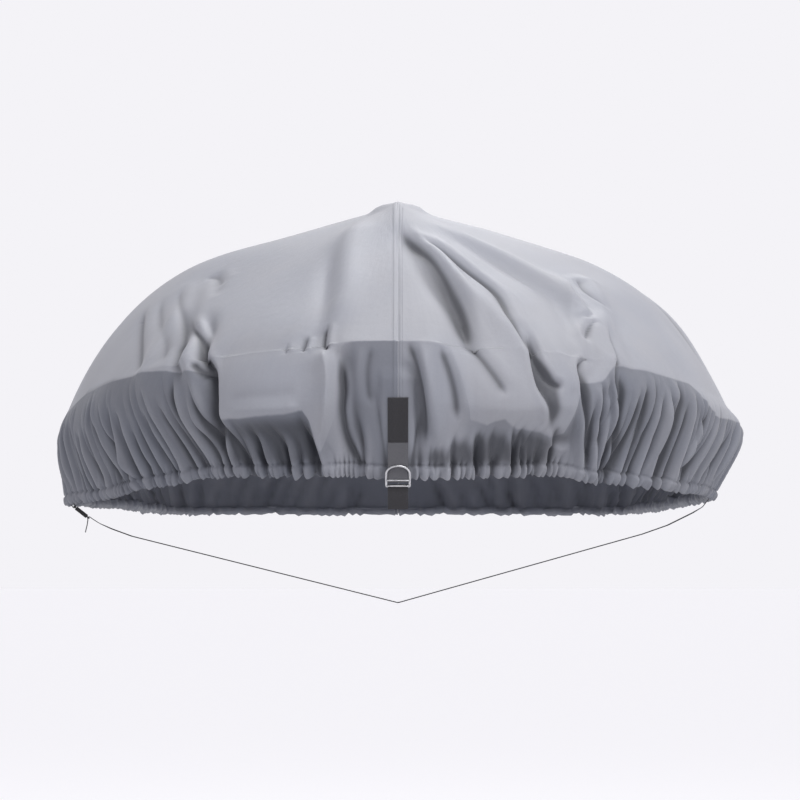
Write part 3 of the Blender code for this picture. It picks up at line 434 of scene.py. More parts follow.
def rim_plan():
    """The rim from above, bow to stern: its points, and how far along it each of them lies."""
    turn = np.linspace(0.0, math.pi / 2, 600)
    power = 2.0 / BOW_POWER
    bow = np.stack([HALF_BEAM * np.sin(turn) ** power, BOW_LENGTH * (1.0 - np.cos(turn) ** power)], 1)
    corner_x = HALF_BEAM - STERN_RADIUS * (1.0 - np.cos(turn))
    corner_y = LENGTH - STERN_RADIUS * (1.0 - np.sin(turn))
    points = np.concatenate([bow, np.stack([corner_x, corner_y], 1), [[0.0, LENGTH]]])
    along = np.concatenate([[0.0], np.cumsum(np.linalg.norm(np.diff(points, axis=0), axis=1))])
    even = np.linspace(0.0, along[-1], 2400)
    return np.stack([np.interp(even, along, points[:, k]) for k in range(2)], 1), even


PLAN, PLAN_ALONG = rim_plan()
RIM_LENGTH = float(PLAN_ALONG[-1])
FORWARD_HALF = PLAN[:, 1] < LENGTH / 2
BELLY_ALONG = float(np.interp(BELLY_Y, PLAN[FORWARD_HALF, 1], PLAN_ALONG[FORWARD_HALF]))
PLAN_TANGENT = np.gradient(PLAN, PLAN_ALONG, axis=0)
PLAN_TANGENT[:2] = (1.0, 0.0)
PLAN_TANGENT[-2:] = (-1.0, 0.0)


def skirt_value(side, column, s):
    """A column of a skirt's table at s, easing from row to row."""
    rows = np.array(SKIRT[side])
    at, value = rows[:, 0], rows[:, SKIRT_COLUMNS.index(column)]
    i = np.clip(np.searchsorted(at, s, side="right") - 1, 0, len(at) - 2)
    return value[i] + (value[i + 1] - value[i]) * ease(0.0, 1.0, (s - at[i]) / (at[i + 1] - at[i]))


def rise(y):
    """How much higher the cover lies at y than it does amidships."""
    return BOW_RISE * (1.0 - ease(0.0, BOW_LENGTH, y))


def smooth_cover(side, s, u):
    """The cover without its folds, drawn to port: s is metres along the rim from the bow, and u is 0 at the
    ridge, 1 at the rim and 2 at the hem."""
    x = np.interp(s, PLAN_ALONG, PLAN[:, 0])
    y = np.interp(s, PLAN_ALONG, PLAN[:, 1])
    out_x = np.interp(s, PLAN_ALONG, PLAN_TANGENT[:, 1])
    out_y = -np.interp(s, PLAN_ALONG, PLAN_TANGENT[:, 0])
    scale = np.maximum(np.hypot(out_x, out_y), 1e-9)
    out_x, out_y = out_x / scale, out_y / scale
    rim_up = RIM_UP + RIM_RISE_AT_BOW * np.exp(-y / RIM_RISE_RUN) + rise(y)

    # Above the rim: from a point on the ridge, straight out as seen from above.
    v = np.clip(u, 0.0, 1.0)
    across_cap = CAP_LENGTH * (np.clip(s / FAN_ALONG, 0.0, 1.0) - 0.5)
    along_ridge = np.clip(s - FAN_ALONG, 0.0, None) / (RIM_LENGTH - FAN_ALONG)
    ridge_y = PEAK_Y + across_cap + (RIDGE_AFT_Y - PEAK_Y - CAP_LENGTH / 2) * along_ridge
    ridge_up = PEAK_UP - RIDGE_SAG * ease(PEAK_Y, PEAK_Y + RIDGE_SAG_RUN, ridge_y)
    aft_drop = PEAK_UP - RIDGE_SAG - RIDGE_AFT_UP
    ridge_up = ridge_up - aft_drop * ease(RIDGE_AFT_FROM_Y, RIDGE_AFT_Y + RIDGE_AFT_RUN, ridge_y)
    shoulder = (1.0 - SLOPE_AT_SIDE) * ease(SHOULDER_FROM_Y, SHOULDER_TO_Y, y)
    shoulder = shoulder * (1.0 - (1.0 - STERN_SHOULDER) * ease(STERN_FROM_Y, LENGTH, y))
    run = (np.hypot(v, RIDGE_SOFT) - RIDGE_SOFT) / (math.hypot(1.0, RIDGE_SOFT) - RIDGE_SOFT)
    drop = (1.0 - shoulder) * run + shoulder * run**SHOULDER_POWER
    top = np.stack([x * v, ridge_y + (y - ridge_y) * v, ridge_up - (ridge_up - rim_up) * drop], -1)

    # Below it: out, then drawn in towards the hem.
    q = np.clip(u - 1.0, 0.0, 1.0)
    belly, down, tuck, drawn_in, hem_up = (skirt_value(side, c, s) for c in SKIRT_COLUMNS[1:])
    rising = np.sin(0.5 * math.pi * np.clip(q / down, 0.0, 1.0))
    bulge = np.where(q < down, rising, np.exp(-(((q - down) / tuck) ** 2)))
    out = belly * bulge - drawn_in * q**1.7
    hem = hem_up + rise(y)
    skirt = np.stack([x + out_x * out, y + out_y * out, rim_up + (hem - rim_up) * q], -1)
    return np.where((u <= 1.0)[..., None], top, skirt)


def mirror_to(side):
    """What turns a place drawn to port into the same place on the named side."""
    return np.array([1.0 if side == "port" else -1.0, 1.0, 1.0])


def facing(side, s, u):
    """Which way the smooth cover faces at each place, drawn to port."""
    step = 0.002
    ahead, behind = np.clip(s + step, 0.0, RIM_LENGTH), np.clip(s - step, 0.0, RIM_LENGTH)
    lower, upper = np.clip(u + step, 0.0, 2.0), np.clip(u - step, 0.0, 2.0)
    off_ridge = np.maximum(u, 0.01)
    along = smooth_cover(side, ahead, off_ridge) - smooth_cover(side, behind, off_ridge)
    down = smooth_cover(side, s, lower) - smooth_cover(side, s, upper)
    out = np.cross(down, along)
    return out / np.maximum(np.linalg.norm(out, axis=-1, keepdims=True), 1e-12)


def fold_line(side, start, middle, end):
    """Points down the crest of a fold."""
    t = np.linspace(0.0, 1.0, FOLD_STEPS)[:, None]
    start, middle, end = (np.array(place) for place in (start, middle, end))
    handle = 2.0 * middle - 0.5 * (start + end)
    s, u = ((1.0 - t) ** 2 * start + 2.0 * t * (1.0 - t) * handle + t**2 * end).T
    return smooth_cover(side, s, u) * mirror_to(side)


def crease_line(side, places):
    """Points down a crease, curving through all of its places."""
    places = np.array(places)
    ends = np.concatenate([[2.0 * places[0] - places[1]], places, [2.0 * places[-1] - places[-2]]])
    t = np.linspace(0.0, 1.0, CREASE_STEPS, endpoint=False)[:, None]
    spans = []
    for k in range(1, len(ends) - 2):
        a, b, c, d = ends[k - 1 : k + 3]
        spans.append(b + 0.5 * t * (c - a + t * (2 * a - 5 * b + 4 * c - d + t * (3 * (b - c) + d - a))))
    s, u = np.concatenate([*spans, places[-1:]]).T
    return smooth_cover(side, s, u) * mirror_to(side)


def beside_line(points, line, out):
    """For each point: how far it is from a line, where along that is (0 to 1), and on which side."""
    near, at, hand = np.full(len(points), np.inf), np.zeros(len(points)), np.ones(len(points))
    for k in range(len(line) - 1):
        step = line[k + 1] - line[k]
        share = np.clip(((points - line[k]) @ step) / max(float(step @ step), 1e-12), 0.0, 1.0)
        far = np.linalg.norm(points - line[k] - share[:, None] * step, axis=1)
        closer = far < near
        near[closer], at[closer] = far[closer], (k + share[closer]) / (len(line) - 1)
        hand[closer] = np.sign((np.cross(step, points[closer] - line[k]) * out[closer]).sum(1))
    return near, at, hand


def within(points, line, reach):
    """Which points are near enough to a line to matter to it."""
    return ((points > line.min(0) - reach) & (points < line.max(0) + reach)).all(1)


def fold_height(points, out):
    """How far the folds lift or sink each point."""
    height = np.zeros(len(points))
    for side, start, middle, end, width, depth in FOLDS:
        line = fold_line(side, start, middle, end)
        inside = within(points, line, FOLD_REACH * width)
        near, at, _ = beside_line(points[inside], line, out[inside])
        crest = np.hypot(near, FOLD_CREST * width) - FOLD_CREST * width
        fade = between(0.0, FOLD_FADE, 1.0 - FOLD_FADE, 1.0, at)
        height[inside] += depth * np.exp(-((crest / width) ** FOLD_FALL)) * fade
    return height


def crease_height(points, out):
    """How far the creases lift or sink each point."""
    height = np.zeros(len(points))
    for side, places, width, depth, ridge in CREASES:
        line = crease_line(side, places)
        inside = within(points, line, CREASE_REACH * width)
        near, at, hand = beside_line(points[inside], line, out[inside])
        fade = between(0.0, CREASE_FADE, 1.0 - CREASE_FADE, 1.0, at)
        crest = np.hypot(near, CREASE_CREST * width) - CREASE_CREST * width
        beside = (ridge * hand * near / width - CREASE_RIDGE_AT) / CREASE_RIDGE_HALF
        height[inside] += depth * (np.exp(-crest / width) - CREASE_RIDGE * np.exp(-(beside**2))) * fade
    return height


def pleat_height(side, s, u):
    """The sharp pleats above the hem, unevenly spaced, leaning a little, and deeper the lower they are."""
    height = np.zeros(s.shape)
    draw = np.random.RandomState(PLEAT_SEED + (side == "port"))
    for which, low, high, pitch, top_first, top_last, half, depth, slant in PLEATS:
        count = max(2, int(round((high - low) / pitch)))
        for k in range(count):
            at, top, deep, wide, lean, bow = draw.uniform(-1.0, 1.0, 6)
            if which != side:
                continue
            place = low + (high - low) * (k + 0.5 + PLEAT_ASTRAY * at) / count
            start = 0.5 * (top_first + top_last) + 0.5 * (top_last - top_first) * top
            width = half * (1.0 + PLEAT_WIDER * wide)
            bowed = PLEAT_BOW * bow * np.sin(PLEAT_BOW_RATE * (u - start))
            line = place + (slant + PLEAT_LEAN * lean) * (u - 1.0) + bowed
            off = (s - line) / width
            near = (np.abs(off) < PLEAT_REACH) & (u > start)
            far = off[near]
            crest = np.hypot(far, PLEAT_CREST) - PLEAT_CREST
            beside = (far + PLEAT_RIDGE_AT) / PLEAT_RIDGE_HALF
            valley = np.exp(-crest) - PLEAT_RIDGE * np.exp(-(beside**2))
            grown = ease(start, start + PLEAT_GROWN, u[near])
            grown = grown * (1.0 - PLEAT_IN_CASING * ease(1.90, 2.0, u[near]))
            height[near] -= depth * (1.0 + PLEAT_DEEPER * deep) * valley * grown
    return height


def gather_height(side, s, u):
    """The gathers: rounded ridges with narrow valleys, leaning forward towards the hem."""
    height = np.zeros(s.shape)
    for which, low, high, number, top, depth in GATHERS:
        if which != side:
            continue
        turn = (s - GATHER_LEAN * (u - 1.0) - low) / (high - low) * number
        turn = turn + GATHER_SWAY * np.sin(GATHER_SWAY_RATE * turn + 9.0 * low)
        ridge = np.abs(np.sin(math.pi * turn)) ** GATHER_ROUND - GATHER_MEAN
        uneven = 1.0 - GATHER_UNEVEN + GATHER_UNEVEN * np.sin(GATHER_UNEVEN_RATE * turn + 5.0 * high)
        window = between(low - 0.02, low + 0.03, high - 0.03, high + 0.02, s)
        height += depth * ridge * uneven * window * ease(top, top + GATHER_FULL, u)
    return height


def ripple(points):
    """How far the cloth's slight unevenness lifts each point."""
    height = np.zeros(len(points))
    for high, *waves in RIPPLES:
        height += high * np.prod([np.sin(points @ np.array(wave[:3]) + wave[3]) for wave in waves], axis=0)
    return height


def held_flat(s, u):
    """1 where the bow tab and the belly strap's ends hold the cloth flat, and 0 away from them."""
    tab = 1.0 - ease(TAB_FLAT_NEAR, TAB_FLAT_FAR, s)
    tab = tab * ease(TAB_FROM - TAB_FLAT_ABOVE, TAB_FROM - TAB_FLAT_FULL, u)
    sewn = 1.0 - ease(SEWN_FLAT_NEAR, SEWN_FLAT_FAR, np.abs(s - BELLY_ALONG))
    sewn = sewn * ease(BELLY_SEWN_FROM - SEWN_FLAT_ABOVE, BELLY_SEWN_FROM - SEWN_FLAT_FULL, u)
    return np.maximum(tab, sewn)


def round_height(side, s, u):
    """How far the slack cloth over the bow's bulges is drawn in where it rounds the rim."""
    low, high = ROUNDED[side]
    window = between(low - ROUND_FADE, low + ROUND_FADE, high - ROUND_FADE, high + ROUND_FADE, s)
    off = np.where(u < 1.0, (1.0 - u) * TOP_RUN, (u - 1.0) * SKIRT_RUN)
    off = np.hypot(off, ROUND_SOFT) - ROUND_SOFT
    return -ROUND_IN * window * np.exp(-off / ROUND_OVER)


def scrunch_bump(side, s, index):
    """The bumps between the hem's pleats: round on top, sharp between them, uneven in width and height."""
    pitch, _, _, _, sway, rate = SCRUNCHES[index]
    phase = 0.0 if side == "port" else 2.1
    turn = s / pitch + sway * np.sin(rate * s / pitch + phase) + 0.5 * np.sin(0.23 * s / pitch + 2.0 * phase)
    strength = 0.72 + 0.28 * np.sin(0.9 * turn + phase)
    return strength * (np.abs(np.sin(math.pi * turn)) ** 0.8 - 0.62)


def hem_height(side, s, u):
    """The casing's puff, the groove along its stitching, and the pleats that its elastic scrunches."""
    height = np.zeros(s.shape)
    for index, (_, depth, top, full, _, _) in enumerate(SCRUNCHES):
        height += depth * scrunch_bump(side, s, index) * ease(top, full, u)
    in_casing = np.clip((u - CASING_FROM) / (2.0 - CASING_FROM), 0.0, 1.0)
    height += CASING_PUFF * np.sin(math.pi * in_casing) ** 0.6 * (u > CASING_FROM)
    height -= STITCH_GROOVE * np.exp(-(((u - CASING_FROM) / STITCH_GROOVE_HALF) ** 2))
    return height


def seam_height(x):
    """The centre seam: a groove where the two edges meet, with a flat welt beside it."""
    groove = -SEAM_GROOVE * np.exp(-((x / SEAM_HALF) ** 2))
    welt = between(WELT_FROM - WELT_SOFT, WELT_FROM, WELT_TO - WELT_SOFT, WELT_TO, x)
    return groove + SEAM_WELT * welt


def base_face(side, s, u):
    """The smooth cover in its own place, which way it faces, and which places lie on the centre line."""
    mirror = mirror_to(side)
    flat, out = smooth_cover(side, s, u) * mirror, facing(side, s, u) * mirror
    middle = (u <= 0.0) | (s <= 0.0) | (s >= RIM_LENGTH)
    out[middle, 0] = 0.0
    out /= np.linalg.norm(out, axis=-1, keepdims=True)
    return flat, out, middle


def keep_side(side, points, middle):
    """Keeps a half on its own side of the centre line, with its edge half a gap off it."""
    sign = mirror_to(side)[0]
    points[:, 0] = sign * np.maximum(sign * points[:, 0], GAP / 2)
    points[middle, 0] = sign * GAP / 2
    return points


def coarse_face(side, s, u):
    """The outer face with the main folds and gathers alone."""
    s, u = np.asarray(s, float), np.asarray(u, float)
    flat, out, middle = base_face(side, s, u)
    lift = fold_height(flat, out) + gather_height(side, s, u) + ripple(flat)
    points = flat + out * (lift * (1.0 - held_flat(s, u)))[:, None]
    return keep_side(side, points, middle)


# The frame's origin lies under the peak, so every place is taken down and forward by this much.
UNDER_PEAK = coarse_face("port", [0.5 * FAN_ALONG], [0.0])[0] - (0.0, 0.0, CLOTH)
HANG = np.array([0.0, UNDER_PEAK[1], UNDER_PEAK[2]])


def cloth_face(side, s, u, shape):
    """The cover's outer face with every fold, in the frame's place, and how far each point stands out of the
    cloth round it. Past the hem (u over 2) the cloth turns back up inside the casing."""
    s, u = np.asarray(s, float), np.asarray(u, float)
    turned = np.clip(u - 2.0, 0.0, None)
    u = np.where(turned > 0.0, 2.0 - turned, u)
    flat, out, middle = base_face(side, s, u)
    sharp = shape.crease * (crease_height(flat, out) + pleat_height(side, s, u))
    folds = fold_height(flat, out) + gather_height(side, s, u)
    free = 1.0 - held_flat(s, u)
    hem = shape.scrunch * hem_height(side, s, u)
    lift = (folds + sharp + ripple(flat) + hem + round_height(side, s, u)) * free
    lift = lift + seam_height(np.abs(flat[:, 0])) * ease(0.0, SEAM_FADE, u)
    deep = CASING_DEEP * np.sqrt(np.clip(turned / (2.0 - CASING_FROM) * 4.0, 0.0, 1.0))
    inside = np.where(turned > 0.0, deep + 2.0 * np.clip(hem, 0.0, None) * free, 0.0)
    points = flat + out * (lift - inside)[:, None]
    sag = HEM_SAG[0] * scrunch_bump(side, s, 0) + HEM_SAG[1] * scrunch_bump(side, s, 1)
    points[:, 2] -= shape.scrunch * sag * free * ease(1.90, 2.0, u)
    from_peak = np.hypot(flat[:, 0], flat[:, 1] - PEAK_Y)
    on_cap = 1.0 - ease(CAP_FLAT, CAP_FADE, from_peak)
    points[:, 2] += on_cap * np.clip(PEAK_UP - CAP_DROP - points[:, 2], 0.0, None)
    return keep_side(side, points, middle) - HANG, 0.3 * folds + sharp + 0.9 * hem


def shade_line(side, s):
    """The line below which the cloth lies tight and is painted darker as painted shade, and how strong that
    painted shade is there.
    """
    rows = np.array(SHADE_LINES[side])
    return np.interp(s, rows[:, 0], rows[:, 1]), np.interp(s, rows[:, 0], rows[:, 2])


def deep_shade(side, s, u):
    """How deep in the shade under the bulges and in the widest valleys each place lies."""
    rows = np.array(DEEP_LINES[side])
    line = np.interp(s, rows[:, 0], rows[:, 1])
    shade = np.interp(s, rows[:, 0], rows[:, 2]) * ease(line - 0.05, line + 0.15, u)
    shade = shade * (1.0 - CASING_LIGHTER * ease(1.84, 1.95, u))
    for which, top, bottom, half, deep in SHADED_VALLEYS:
        if which == side:
            share = (u - top[1]) / (bottom[1] - top[1])
            middle = top[0] + (bottom[0] - top[0]) * share
            window = between(0.0, 0.35, 0.65, 1.0, share)
            shade = shade + deep * np.exp(-(((s - middle) / half) ** 2)) * window
    return shade


def column_places():
    """Where the sheet's columns lie along the rim, close together beside the centre line at both ends."""
    places = [SEAM_COLUMNS[-1]]
    while places[-1] < RIM_LENGTH - SEAM_COLUMNS[-1]:
        spacing = [step for place, step in COLUMN_SPACING if places[-1] >= place - 1e-6][-1]
        places.append(places[-1] + spacing)
    places = np.array(places)
    near, far = SEAM_COLUMNS[-1], RIM_LENGTH - SEAM_COLUMNS[-1]
    places = near + (places - near) * (far - near) / (places[-1] - near)
    ends = np.array(SEAM_COLUMNS[:-1])
    return np.concatenate([ends, places, RIM_LENGTH - ends[::-1]])


def zip_rows(upper, lower, along):
    """Faces between two rows of points: four-sided where their columns match, and triangles elsewhere."""
    if len(upper) == len(lower):
        return [(upper[k], lower[k], lower[k + 1], upper[k + 1]) for k in range(len(upper) - 1)]
    faces, i, j = [], 0, 0
    while i < len(upper) - 1 or j < len(lower) - 1:
        next_up = along[upper[i + 1]] if i < len(upper) - 1 else math.inf
        next_low = along[lower[j + 1]] if j < len(lower) - 1 else math.inf
        if next_low <= next_up and not (j == len(lower) - 2 and i < len(upper) - 1):
            faces.append((upper[i], lower[j], lower[j + 1]))
            j += 1
        else:
            faces.append((upper[i], lower[j], upper[i + 1]))
            i += 1
    return faces


# ---- Meshes ----


def make_piece(name, points, faces, material, smooth=True):
    """A mesh object that rides on the frame's only body, with the given material."""
    mesh = bpy.data.meshes.new(name)
    mesh.from_pydata(np.asarray(points, float).tolist(), [], faces)
    mesh.materials.append(material)
    mesh.validate()
    if smooth:
        mesh.shade_smooth()
    obj = bpy.data.objects.new(name, mesh)
    bpy.context.scene.collection.objects.link(obj)
    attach(obj, "root")
    return obj


def add_values(obj, name, values):
    """A number, or a place, kept at each point of a mesh for its material to read."""
    values = np.asarray(values, float)
    kind, field = ("FLOAT", "value") if values.ndim == 1 else ("FLOAT_VECTOR", "vector")
    attribute = obj.data.attributes.new(name, kind, "POINT")
    attribute.data.foreach_set(field, values.ravel())


def sweep(path, across, outline, closed=False):
    """Points and faces of an outline, as (across, off) pairs, carried along a path and capped if open."""
    path = np.array(path, float)
    across = np.broadcast_to(np.array(across, float), path.shape)
    if closed:
        tangent = np.roll(path, -1, 0) - np.roll(path, 1, 0)
    else:
        tangent = np.gradient(path, axis=0)
    tangent = tangent / np.linalg.norm(tangent, axis=1, keepdims=True)
    normal = np.cross(tangent, across)
    normal /= np.linalg.norm(normal, axis=1, keepdims=True)
    outline = np.array(outline)
    points = path[:, None] + outline[None, :, :1] * across[:, None] + outline[None, :, 1:] * normal[:, None]
    count, rings = len(outline), len(path)
    faces = []
    for k in range(rings if closed else rings - 1):
        here, there = k * count, (k + 1) % rings * count
        for c in range(count):
            d = (c + 1) % count
            faces.append((here + c, here + d, there + d, there + c))
    if not closed:
        faces.append(tuple(range(count))[::-1])
        faces.append(tuple(range((rings - 1) * count, rings * count)))
    return points.reshape(-1, 3), faces


def smooth_path(path, spacing):
    """A path through the given places with its corners rounded a little, and its points evenly spaced."""
    path = np.array(path, float)
    along = np.concatenate([[0.0], np.cumsum(np.linalg.norm(np.diff(path, axis=0), axis=1))])
    count = max(8, int(along[-1] / spacing))
    even = np.linspace(0.0, along[-1], count)
    placed = np.stack([np.interp(even, along, path[:, k]) for k in range(3)], 1)
    for _ in range(3):
        placed[1:-1] = 0.25 * placed[:-2] + 0.5 * placed[1:-1] + 0.25 * placed[2:]
    return placed, even


def webbing_outline(width, thick, edge=4, flat=10):
    """A webbing's section: flat faces and rounded edges."""
    half, r = width / 2 - thick / 2, thick / 2
    outline = [(x, -r) for x in np.linspace(-half, half, flat)]
    outline += [(half + r * math.sin(a), -r * math.cos(a)) for a in np.linspace(0, math.pi, edge + 2)[1:-1]]
    outline += [(x, r) for x in np.linspace(half, -half, flat)]
    outline += [(-half - r * math.sin(a), r * math.cos(a)) for a in np.linspace(0, math.pi, edge + 2)[1:-1]]
    return outline


def make_webbing(name, path, across, width, thick, material, spacing=0.002):
    """A length of webbing, with the weave's places kept on it: across it, along it, and off its face."""
    across = np.array(across, float)
    placed, along = smooth_path(path, spacing)
    if across.ndim == 2:
        given = np.concatenate([[0.0], np.cumsum(np.linalg.norm(np.diff(np.array(path), axis=0), axis=1))])
        across = np.stack([np.interp(along, given, across[:, k]) for k in range(3)], 1)
        across /= np.linalg.norm(across, axis=1, keepdims=True)
    outline = webbing_outline(width, thick)
    points, faces = sweep(placed, across, outline)
    obj = make_piece(name, points, faces, material)
    place = [(w, a, n) for a in along for w, n in outline]
    add_values(obj, "cloth_place", place)
    return obj


def make_stitches(name, starts, ends, outs, thick, material):
    """Stitches as one mesh: each a short low bar with pointed ends, from its start to its end."""
    starts, ends, outs = (np.array(values, float) for values in (starts, ends, outs))
    along = ends - starts
    long = np.linalg.norm(along, axis=1, keepdims=True)
    along /= np.maximum(long, 1e-9)
    across = np.cross(along, outs)
    across /= np.maximum(np.linalg.norm(across, axis=1, keepdims=True), 1e-9)
    middle = 0.5 * (starts + ends)
    corners = [starts, middle + across * thick, middle - across * thick, middle + outs * thick, ends]
    points = np.stack(corners, 1).reshape(-1, 3)
    shape = [(0, 3, 1), (0, 2, 3), (4, 1, 3), (4, 3, 2), (0, 1, 2), (4, 2, 1)]
    faces = [tuple(5 * k + c for c in face) for k in range(len(starts)) for face in shape]
    return make_piece(name, points, faces, material, smooth=False)


# ---- Materials ----


# The edge of the painted shade below the rim: how ragged and how soft it is (u).
EDGE_RAGGED, EDGE_SOFT = 0.006, 0.012


def scaled(share, colour):
    """A colour made that many times as bright."""
    return tuple(share * c for c in colour)


class Shader:
    """A Principled material and short ways to add and join its nodes."""

    def __init__(self, name, colour, roughness, metallic=0.0):
        self.material = bpy.data.materials.new(name)
        self.material.use_nodes = True
        self.nodes = self.material.node_tree.nodes
        self.links = self.material.node_tree.links
        self.bsdf = self.nodes["Principled BSDF"]
        self.set("Base Color", (*colour, 1.0))
        self.set("Roughness", roughness)
        self.set("Metallic", metallic)

    def set(self, socket, value):
        self.bsdf.inputs[socket].default_value = value

    def node(self, kind, inputs=None, **settings):
        node = self.nodes.new(kind)
        for key, value in settings.items():
            setattr(node, key, value)
        for key, value in (inputs or {}).items():
            if isinstance(value, bpy.types.NodeSocket):
                self.links.new(value, node.inputs[key])
            else:
                node.inputs[key].default_value = value
        return node

    def join(self, output, socket):
        self.links.new(output, self.bsdf.inputs[socket])

    def math(self, operation, first, second=0.0, third=0.0):
        return self.node("ShaderNodeMath", {0: first, 1: second, 2: third}, operation=operation).outputs[0]

    def value(self, name):
        return self.node("ShaderNodeAttribute", attribute_name=name)

    def noise(self, vector, scale, detail=2.0, roughness=0.5):
        inputs = {"Vector": vector, "Scale": scale, "Detail": detail, "Roughness": roughness}
        return self.node("ShaderNodeTexNoise", inputs).outputs["Fac"]

    def fade(self, value, low, high, to_low=0.0, to_high=1.0):
        inputs = {"Value": value, "From Min": low, "From Max": high, "To Min": to_low, "To Max": to_high}
        return self.node("ShaderNodeMapRange", inputs, interpolation_type="SMOOTHSTEP").outputs[0]

    def mix(self, factor, first, second, blend="MIX"):
        node = self.node("ShaderNodeMix", data_type="RGBA", blend_type=blend)
        for socket, value in ((0, factor), (6, first), (7, second)):
            if isinstance(value, bpy.types.NodeSocket):
                self.links.new(value, node.inputs[socket])
            else:
                node.inputs[socket].default_value = value if socket == 0 else (*value, 1.0)
        return node.outputs[2]

    def bump(self, height, strength, distance, before=None):
        inputs = {"Height": height, "Strength": strength, "Distance": distance}
        if before:
            inputs["Normal"] = before
        return self.node("ShaderNodeBump", inputs).outputs[0]

    def tint(self, colour, share, low, high):
        """A colour times a tint that goes from low to high with a share."""
        return self.mix(1.0, colour, self.mix(share, low, high), "MULTIPLY")

    def stretched(self, vector, scale):
        """A vector with each of its parts scaled."""
        return self.node("ShaderNodeMapping", {"Vector": vector, "Scale": scale}).outputs[0]

    def wave(self, value, pitch):
        """A wave from -1 to 1 that comes back every pitch."""
        return self.math("SINE", self.math("MULTIPLY", value, 2.0 * math.pi / pitch))

    def weave(self, place, pitch):
        """Threads over and under each other: 1 on a thread's crown and 0 between threads."""
        split = self.node("ShaderNodeSeparateXYZ", {0: place})
        over, under = (self.wave(split.outputs[k], pitch) for k in range(2))
        return self.math("MULTIPLY_ADD", self.math("MULTIPLY", over, under), 0.5, 0.5)


def cover_material(name, look):
    """Coated woven polyester, with painted shade where it lies tight below the rim and deeper painted shade
    in its valleys and under its bulges.
    """
    shader = Shader(name, look.light_colour, look.roughness)
    place = shader.value("cloth_place").outputs["Vector"]
    below = shader.value("below_line").outputs["Fac"]
    dark = shader.value("shade_share").outputs["Fac"]
    valley_shade = shader.value("valley_shade").outputs["Fac"]
    ground = shader.node("ShaderNodeTexCoord").outputs["Object"]
    blotch = shader.noise(ground, 5.0, 3.0, 0.55)
    fine = shader.noise(place, 260.0, 2.0, 0.6)
    streak = shader.noise(shader.stretched(place, (90.0, 9.0, 1.0)), 1.0, 2.0)
    weave = shader.weave(place, look.weave_pitch)

    # Painted shade below the rim line, with a ragged soft edge.
    ragged = shader.math("MULTIPLY_ADD", streak, 2.0 * EDGE_RAGGED, -EDGE_RAGGED)
    edge = shader.fade(shader.math("ADD", below, ragged), -EDGE_SOFT, EDGE_SOFT)
    colour = shader.mix(shader.math("MULTIPLY", edge, dark), look.light_colour, look.tube_shade_colour)
    # Deeper painted shade in the valleys and under the bulges.
    colour = shader.mix(shader.fade(valley_shade, 0.05, 1.0, 0.0, look.valley_shade_share), colour, look.valley_shade_colour)
    colour = shader.tint(colour, shader.fade(blotch, 0.35, 0.65), (0.965, 0.97, 0.985), (1.03, 1.02, 1.01))
    colour = shader.tint(colour, shader.fade(streak, 0.3, 0.7), (0.988, 0.988, 0.99), (1.01, 1.01, 1.01))
    thread = shader.fade(shader.math("MULTIPLY", weave, fine), 0.05, 0.6)
    colour = shader.tint(colour, thread, (0.94, 0.94, 0.94), (1.02, 1.02, 1.02))
    shader.join(colour, "Base Color")

    rough = shader.fade(blotch, 0.3, 0.7, look.roughness - 0.05, look.roughness + 0.07)
    shader.join(rough, "Roughness")
    pulled = shader.bump(streak, 0.10, 0.0020)
    crumpled = shader.bump(shader.noise(place, 38.0, 3.0, 0.55), 0.28, 0.0030, pulled)
    shader.join(shader.bump(weave, 0.35, 0.00018, crumpled), "Normal")
    shader.set("Sheen Weight", look.sheen)
    shader.set("Sheen Roughness", 0.45)
    shader.set("Specular IOR Level", 0.35)
    return shader.material


def webbing_material(name, colour, crowns_brighter_by, pitch):
    """Woven strap: ribs across it in a herringbone, crowns_brighter_by times as bright on their crowns."""
    shader = Shader(name, colour, 0.85)
    place = shader.value("cloth_place").outputs["Vector"]
    split = shader.node("ShaderNodeSeparateXYZ", {0: place})
    slant = shader.math("PINGPONG", split.outputs[0], 4.0 * pitch)
    run = shader.math("ADD", split.outputs[1], slant)
    rib = shader.math("MULTIPLY_ADD", shader.wave(run, pitch), 0.5, 0.5)
    warp = shader.math("MULTIPLY_ADD", shader.wave(split.outputs[0], 0.5 * pitch), 0.5, 0.5)
    speck = shader.noise(place, 900.0, 2.0, 0.7)
    raised = shader.math("MULTIPLY_ADD", rib, 0.7, shader.math("MULTIPLY", warp, 0.3))
    crown = shader.fade(shader.math("MULTIPLY", raised, speck), 0.1, 0.6)
    shader.join(shader.mix(crown, colour, scaled(crowns_brighter_by, colour)), "Base Color")
    ribbed = shader.bump(rib, 0.6, 0.0005)
    shader.join(shader.bump(warp, 0.4, 0.0002, ribbed), "Normal")
    shader.set("Sheen Weight", 0.25)
    return shader.material


def metal_material(look):
    """Plated wire: bright, with fine drawing marks and dull specks."""
    shader = Shader("lock_plated_wire", look.metal_colour, 0.28, 1.0)
    ground = shader.node("ShaderNodeTexCoord").outputs["Object"]
    drawn = shader.noise(shader.stretched(ground, (120.0, 900.0, 900.0)), 1.0, 3.0)
    speck = shader.fade(shader.noise(ground, 420.0, 2.0), 0.55, 0.75)
    shader.join(shader.fade(drawn, 0.3, 0.7, 0.22, 0.40), "Roughness")
    shader.join(shader.mix(speck, look.metal_colour, scaled(0.55, look.metal_colour)), "Base Color")
    shader.join(shader.bump(drawn, 0.15, 0.0001), "Normal")
    return shader.material


